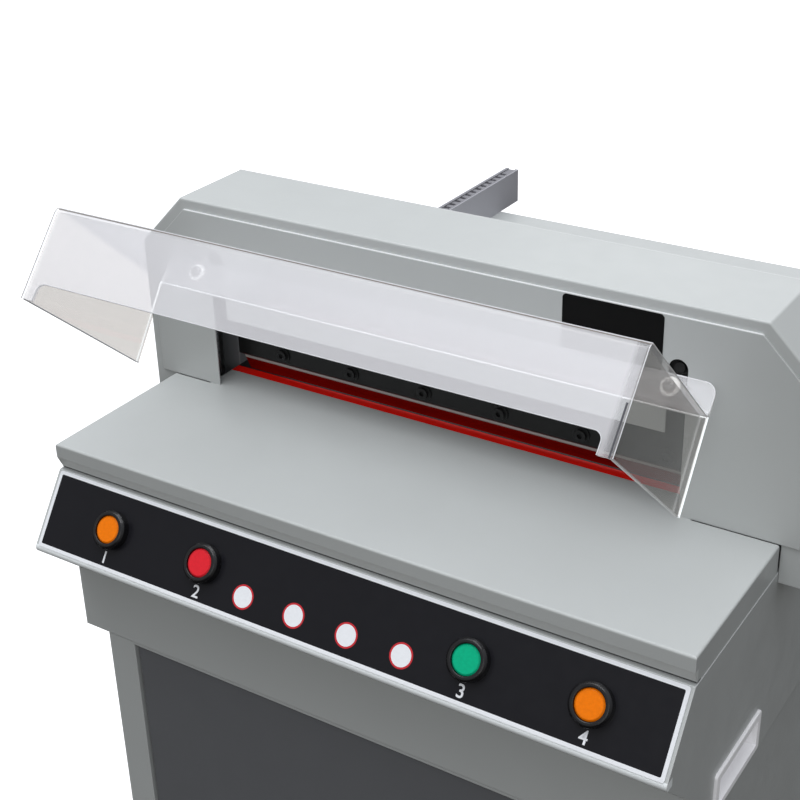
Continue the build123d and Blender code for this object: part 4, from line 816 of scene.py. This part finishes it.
# %% [markdown]
# A black label plate is stuck to the head, half hidden by the guard. It is a
# plain plate with rounded corners. It has a real thickness, because its edge
# catches the light: a front, a back and a wall that joins them. Its height is
# measured from the top of the table.

# %% Label plate
label_left, label_right = 0.110, 0.1955
label_low, label_high = 0.121, 0.170
label_thick, label_round = 0.0003, 0.0035
label_x = (label_left + label_right) / 2
label_z = table_high.z + (label_low + label_high) / 2
outline = rounded_loop((label_right - label_left) / 2, (label_high - label_low) / 2, label_round)
count = len(outline)
label_points = [(label_x + x, face_low.y - label_thick, label_z + y) for x, y in outline]
label_points += [(label_x + x, face_low.y, label_z + y) for x, y in outline]
label_faces = [tuple(range(count)), tuple(range(2 * count - 1, count - 1, -1))]
for i in range(count):
    after = (i + 1) % count
    label_faces.append((i, count + i, count + after, after))
label_mesh = bpy.data.meshes.new("label_plate")
label_mesh.from_pydata(label_points, [], label_faces)
add_piece("label_plate", label_mesh, film_black, "frame")

# %% [markdown]
# The folded sheet of the guard wears the thick veil and its two cheeks the thin
# one. Both are one solid in the frame, so its mesh is parted in two pieces: the
# faces within a sheet's thickness of either end belong to the cheeks.

# %% Guard sheet and cheeks
sheet = 0.003


def part_of_hood(name, wanted):
    """A copy of the hood's mesh with only the faces that are wanted."""
    mesh = nodes["guard_hood"].data.copy()
    mesh.name = name
    form = bmesh.new()
    form.from_mesh(mesh)
    spare = [face for face in form.faces if not wanted(face)]
    bmesh.ops.delete(form, geom=spare, context="FACES")
    form.to_mesh(mesh)
    form.free()
    return mesh


def in_cheek(face):
    """True where every corner of a face lies in one end plate."""
    xs = [vert.co.x for vert in face.verts]
    slack = sheet + 0.0001
    return max(xs) < hood_low.x + slack or min(xs) > hood_high.x - slack


def in_sheet(face):
    """True for all faces that are no part of a cheek."""
    return not in_cheek(face)


cheek_mesh = part_of_hood("guard_cheeks", in_cheek)
sheet_mesh = part_of_hood("guard_sheet", in_sheet)
cheeks = add_piece("guard_cheeks", cheek_mesh, acrylic_clear, "guard")
folded = add_piece("guard_sheet", sheet_mesh, acrylic_milky, "guard")
for piece in (cheeks, folded):
    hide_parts("guard_hood")
    piece.visible_shadow = False

# %% [markdown]
# Cut edges are what makes clear acrylic look like acrylic: light runs inside the
# sheet and comes out at the edge, so a polished edge glows and a bend shows as a
# smoky line. A material that bends light as acrylic does would need many bounces
# for this. Thin bars along the edges show it at once. Geometry Nodes sweep a round
# bar along each chain of points, and each look has a colour and a glow.

# %% Bars for the guard's edges
def bar_tree(material):
    """A tree that sweeps a thin round bar along every chain of a mesh."""
    tree, given, result = new_tree("edge_bar", {"radius": sheet}, takes_mesh=True)
    path = add_node(tree, "GeometryNodeMeshToCurve", {"Mesh": given.outputs["Mesh"]})
    section = {"Resolution": 8, "Radius": given.outputs["radius"]}
    profile = add_node(tree, "GeometryNodeCurvePrimitiveCircle", section)
    sweep = {"Curve": path.outputs["Curve"], "Profile Curve": profile.outputs["Curve"], "Fill Caps": True}
    bar = add_node(tree, "GeometryNodeCurveToMesh", sweep)
    return finished(tree, result, bar.outputs["Mesh"], material)


def swept_bars(name, chains, radius, material):
    """Sweeps the bar along chains of points and returns the plain mesh."""
    points, links = [], []
    for chain in chains:
        first = len(points)
        points.extend(chain)
        links.extend((first + i, first + i + 1) for i in range(len(chain) - 1))
    return grown(bar_tree(material), name, {"radius": radius}, points, links)


def edge_look(name, color, glow):
    """The look of an edge: a flat colour with some light of its own."""
    drift_scale = 60
    material, tree, shader = finish(name, color, 0.3)
    tint = blend_colors(tree, grain(tree, drift_scale), times(color, 0.93), color)
    tree.links.new(tint, shader.inputs["Base Color"])
    tree.links.new(tint, shader.inputs["Emission Color"])
    shader.inputs["Emission Strength"].default_value = glow
    return material


edge_glow = edge_look("edge_glow", (0.94, 0.98, 1.0), 0.6)
edge_pale = edge_look("edge_pale", (0.62, 0.63, 0.65), 0.1)
edge_smoke = edge_look("edge_smoke", (0.20, 0.175, 0.155), 0)
edge_slate = edge_look("edge_slate", (0.08, 0.082, 0.095), 0)
print("edge looks:", edge_glow.name, edge_pale.name, edge_smoke.name, edge_slate.name)

# %% [markdown]
# The guard is bent from one sheet: a flange, a fold, an upper leg, the front bend
# and the front. Its sizes are given as if it were shut and measured from its
# hinge, because shut it stands square. One helper turns such a place to where the
# guard stands open. The line of the front bend lies on the outside of the round
# bend, and that of the fold on its inside.

# %% The guard's own frame
guard_raise = radians(42.6)
hinge = Vector(joints["guard_hinge"]["pos_m"])


def on_guard(x, back, up):
    """A point given as the shut guard has it, measured from its hinge."""
    y = back * cos(guard_raise) + up * sin(guard_raise)
    z = up * cos(guard_raise) - back * sin(guard_raise)
    return Vector((x, hinge.y + y, hinge.z + z))


flange_back, flange_up, fold_up = -0.0095, 0.0108, -0.0158
front_back, front_up = flange_back - 0.158, fold_up + 0.003
low_back, low_up = front_back + 0.003, front_up - 0.082
cheek_back, cheek_up = 0.001, fold_up - 0.077
window_leg, window_rise, window_round, flange_round = 0.012, 0.016, 0.007, 0.010
left, right = hood_low.x, hood_high.x
hair = 0.0004
bend_radius = 0.005
bend_cut = bend_radius * (1 - sqrt(0.5))
across_sheet = sheet * sqrt(0.5)
front_bend = (front_back + bend_cut + hair / 2, front_up - bend_cut - hair / 2)
fold_bend = (flange_back - bend_cut + across_sheet, fold_up + bend_cut - across_sheet)
print("guard in millimetres: hinge", round(1000 * hinge.z), "high, width", round(1000 * (right - left)))

# %% [markdown]
# The flange has round upper corners, and the front has a wide notch cut in its
# lower edge, with round corners too. Each outline is a straight leg, a quarter
# circle, a quarter circle and a leg. A loop makes the quarter circles, and their
# ends are joined by the straight stretches.

# %% Rim and notch
def corner_arc(x, up, radius, start, steps=6):
    """Points round a quarter circle about a centre in a sheet that faces forward."""
    angles = [start + step / steps * pi / 2 for step in range(steps + 1)]
    return [(x + radius * cos(angle), up + radius * sin(angle)) for angle in angles]


rim_arc = flange_round - hair
flange_arcs = corner_arc(right - flange_round, flange_up - flange_round, rim_arc, 0)
flange_arcs += corner_arc(left + flange_round, flange_up - flange_round, rim_arc, pi / 2)
rim_foot = fold_up + bend_radius
flange_rim = [(right - hair, rim_foot), *flange_arcs, (left + hair, rim_foot)]
rim_back = flange_back + hair

window_left, window_right = left + window_leg, right - window_leg
window_top = low_up + window_rise
arc_up = window_top - window_round
window_arcs = corner_arc(window_right - window_round, arc_up, window_round, 0)
window_arcs += corner_arc(window_left + window_round, arc_up, window_round, pi / 2)
window_rim = [(window_right, low_up), *window_arcs, (window_left, low_up)]
print("points round the rim:", len(flange_rim), "and round the notch:", len(window_rim))

# %% [markdown]
# Last come the straight edges. Each chain is named for where it runs, so that one
# look can take the same edge at both ends of the guard. The rear edges of the
# cheeks are bright, the fold and the left end of the front are fine bright lines,
# and the rims are pale. The front bend is smoky, and so is the outer side of its
# left end. A stretch inside its right end is darker still.

# %% Guard edges
def along(back, up):
    """A chain across the whole guard."""
    return [on_guard(left, back, up), on_guard(right, back, up)]


def down_front(x):
    """A chain down the front sheet, from its bend to its lower edge."""
    straight = on_guard(x, front_back + hair, front_up - bend_radius)
    return [on_guard(x, *front_bend), straight, on_guard(x, low_back + hair, low_up)]


def under_cheek(x):
    """A chain along the lower edge of a cheek."""
    return [on_guard(x, low_back, low_up + hair), on_guard(x, cheek_back, cheek_up + hair)]


def behind_cheek(x):
    """A chain down the rear edge of a cheek."""
    return [on_guard(x, flange_back, fold_up), on_guard(x, cheek_back, cheek_up)]


def over_cheek(x):
    """A chain along the upper edge of a cheek."""
    front = on_guard(x, front_back + bend_radius, front_up - hair)
    return [on_guard(x, *front_bend), front, on_guard(x, flange_back, fold_up - hair)]


ends = (left + hair, right - hair)
inner_ends = (left + sheet, right - sheet)
bright_chains = [behind_cheek(x) for x in ends]
fine_chains = [along(*fold_bend), down_front(left + sheet / 2)]
pale_chains = [under_cheek(x) for x in ends + inner_ends] + [down_front(x) for x in ends]
pale_chains += [along(front_back + sheet, front_up - hair), over_cheek(ends[1])]
pale_chains.append([on_guard(x, rim_back, up) for x, up in flange_rim])
pale_chains.append([on_guard(x, low_back, up) for x, up in window_rim])
smoke_chains = [along(*front_bend), down_front(left)]
inner_start, inner_foot = down_front(inner_ends[1])[1:]
bend_chains = [[(inner_start + inner_foot) / 2, inner_foot]]
looks = (
    ("guard_edges_bright", bright_chains, 0.0010, edge_glow),
    ("guard_edges_fine", fine_chains, 0.0005, edge_glow),
    ("guard_edges_pale", pale_chains, 0.0004, edge_pale),
    ("guard_edges_smoke", smoke_chains, 0.0005, edge_smoke),
    ("guard_edges_bend", bend_chains, 0.0008, edge_slate),
)
for name, chains, radius, look in looks:
    add_piece(name, swept_bars(name, chains, radius, look), look, "guard")

# %% [markdown]
# Sheet metal covers are held by small screws. The rear cover of the head and the
# back of the cabinet have them along their edges. A low cone with its tip cut off
# makes a pan head, and Geometry Nodes set one on every point, flat on the sheet.

# %% Rear screws
def screw_tree(material):
    """A tree that sets a pan head on every point of a mesh, facing the rear."""
    sizes = {"radius": 0.0042, "top radius": 0.0027, "height": 0.0018}
    tree, given, result = new_tree("screw_heads", sizes, takes_mesh=True)
    taper = {"Vertices": 20, "Radius Bottom": given.outputs["radius"]}
    taper.update({"Radius Top": given.outputs["top radius"], "Depth": given.outputs["height"]})
    pan = add_node(tree, "GeometryNodeMeshCone", taper)
    set_out = {"Points": given.outputs["Mesh"], "Instance": pan.outputs["Mesh"], "Rotation": (-pi / 2, 0, 0)}
    placed = add_node(tree, "GeometryNodeInstanceOnPoints", set_out)
    return finished(tree, result, placed.outputs["Instances"], material)


def edge_places(node, rows, columns):
    """Places on the rear face of a part, each given from the middle and the foot of its box."""
    low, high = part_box(node)
    middle = (low.x + high.x) / 2
    return [(middle + across, high.y, low.z + up) for across, up in rows + columns]


cover_rows = [(across, 0.204) for across in (-0.25, -0.083, 0.083, 0.25)]
cover_columns = [(across, up) for across in (-0.313, 0.313) for up in (0.06, 0.135)]
back_rows = [(across, up) for up in (0.014, 0.638) for across in (-0.13, 0, 0.13)]
back_columns = [(across, up) for across in (-0.262, 0.262) for up in (0.02, 0.17, 0.326, 0.48, 0.632)]
screw_places = edge_places("rear_cover", cover_rows, cover_columns)
screw_places += edge_places("cabinet_back", back_rows, back_columns)
screw_mesh = grown(screw_tree(chrome), "rear_screws", {}, screw_places)
add_piece("rear_screws", screw_mesh, chrome, "frame")
print("screws on the covers:", len(screw_places))

# %% End
print("scene ready")
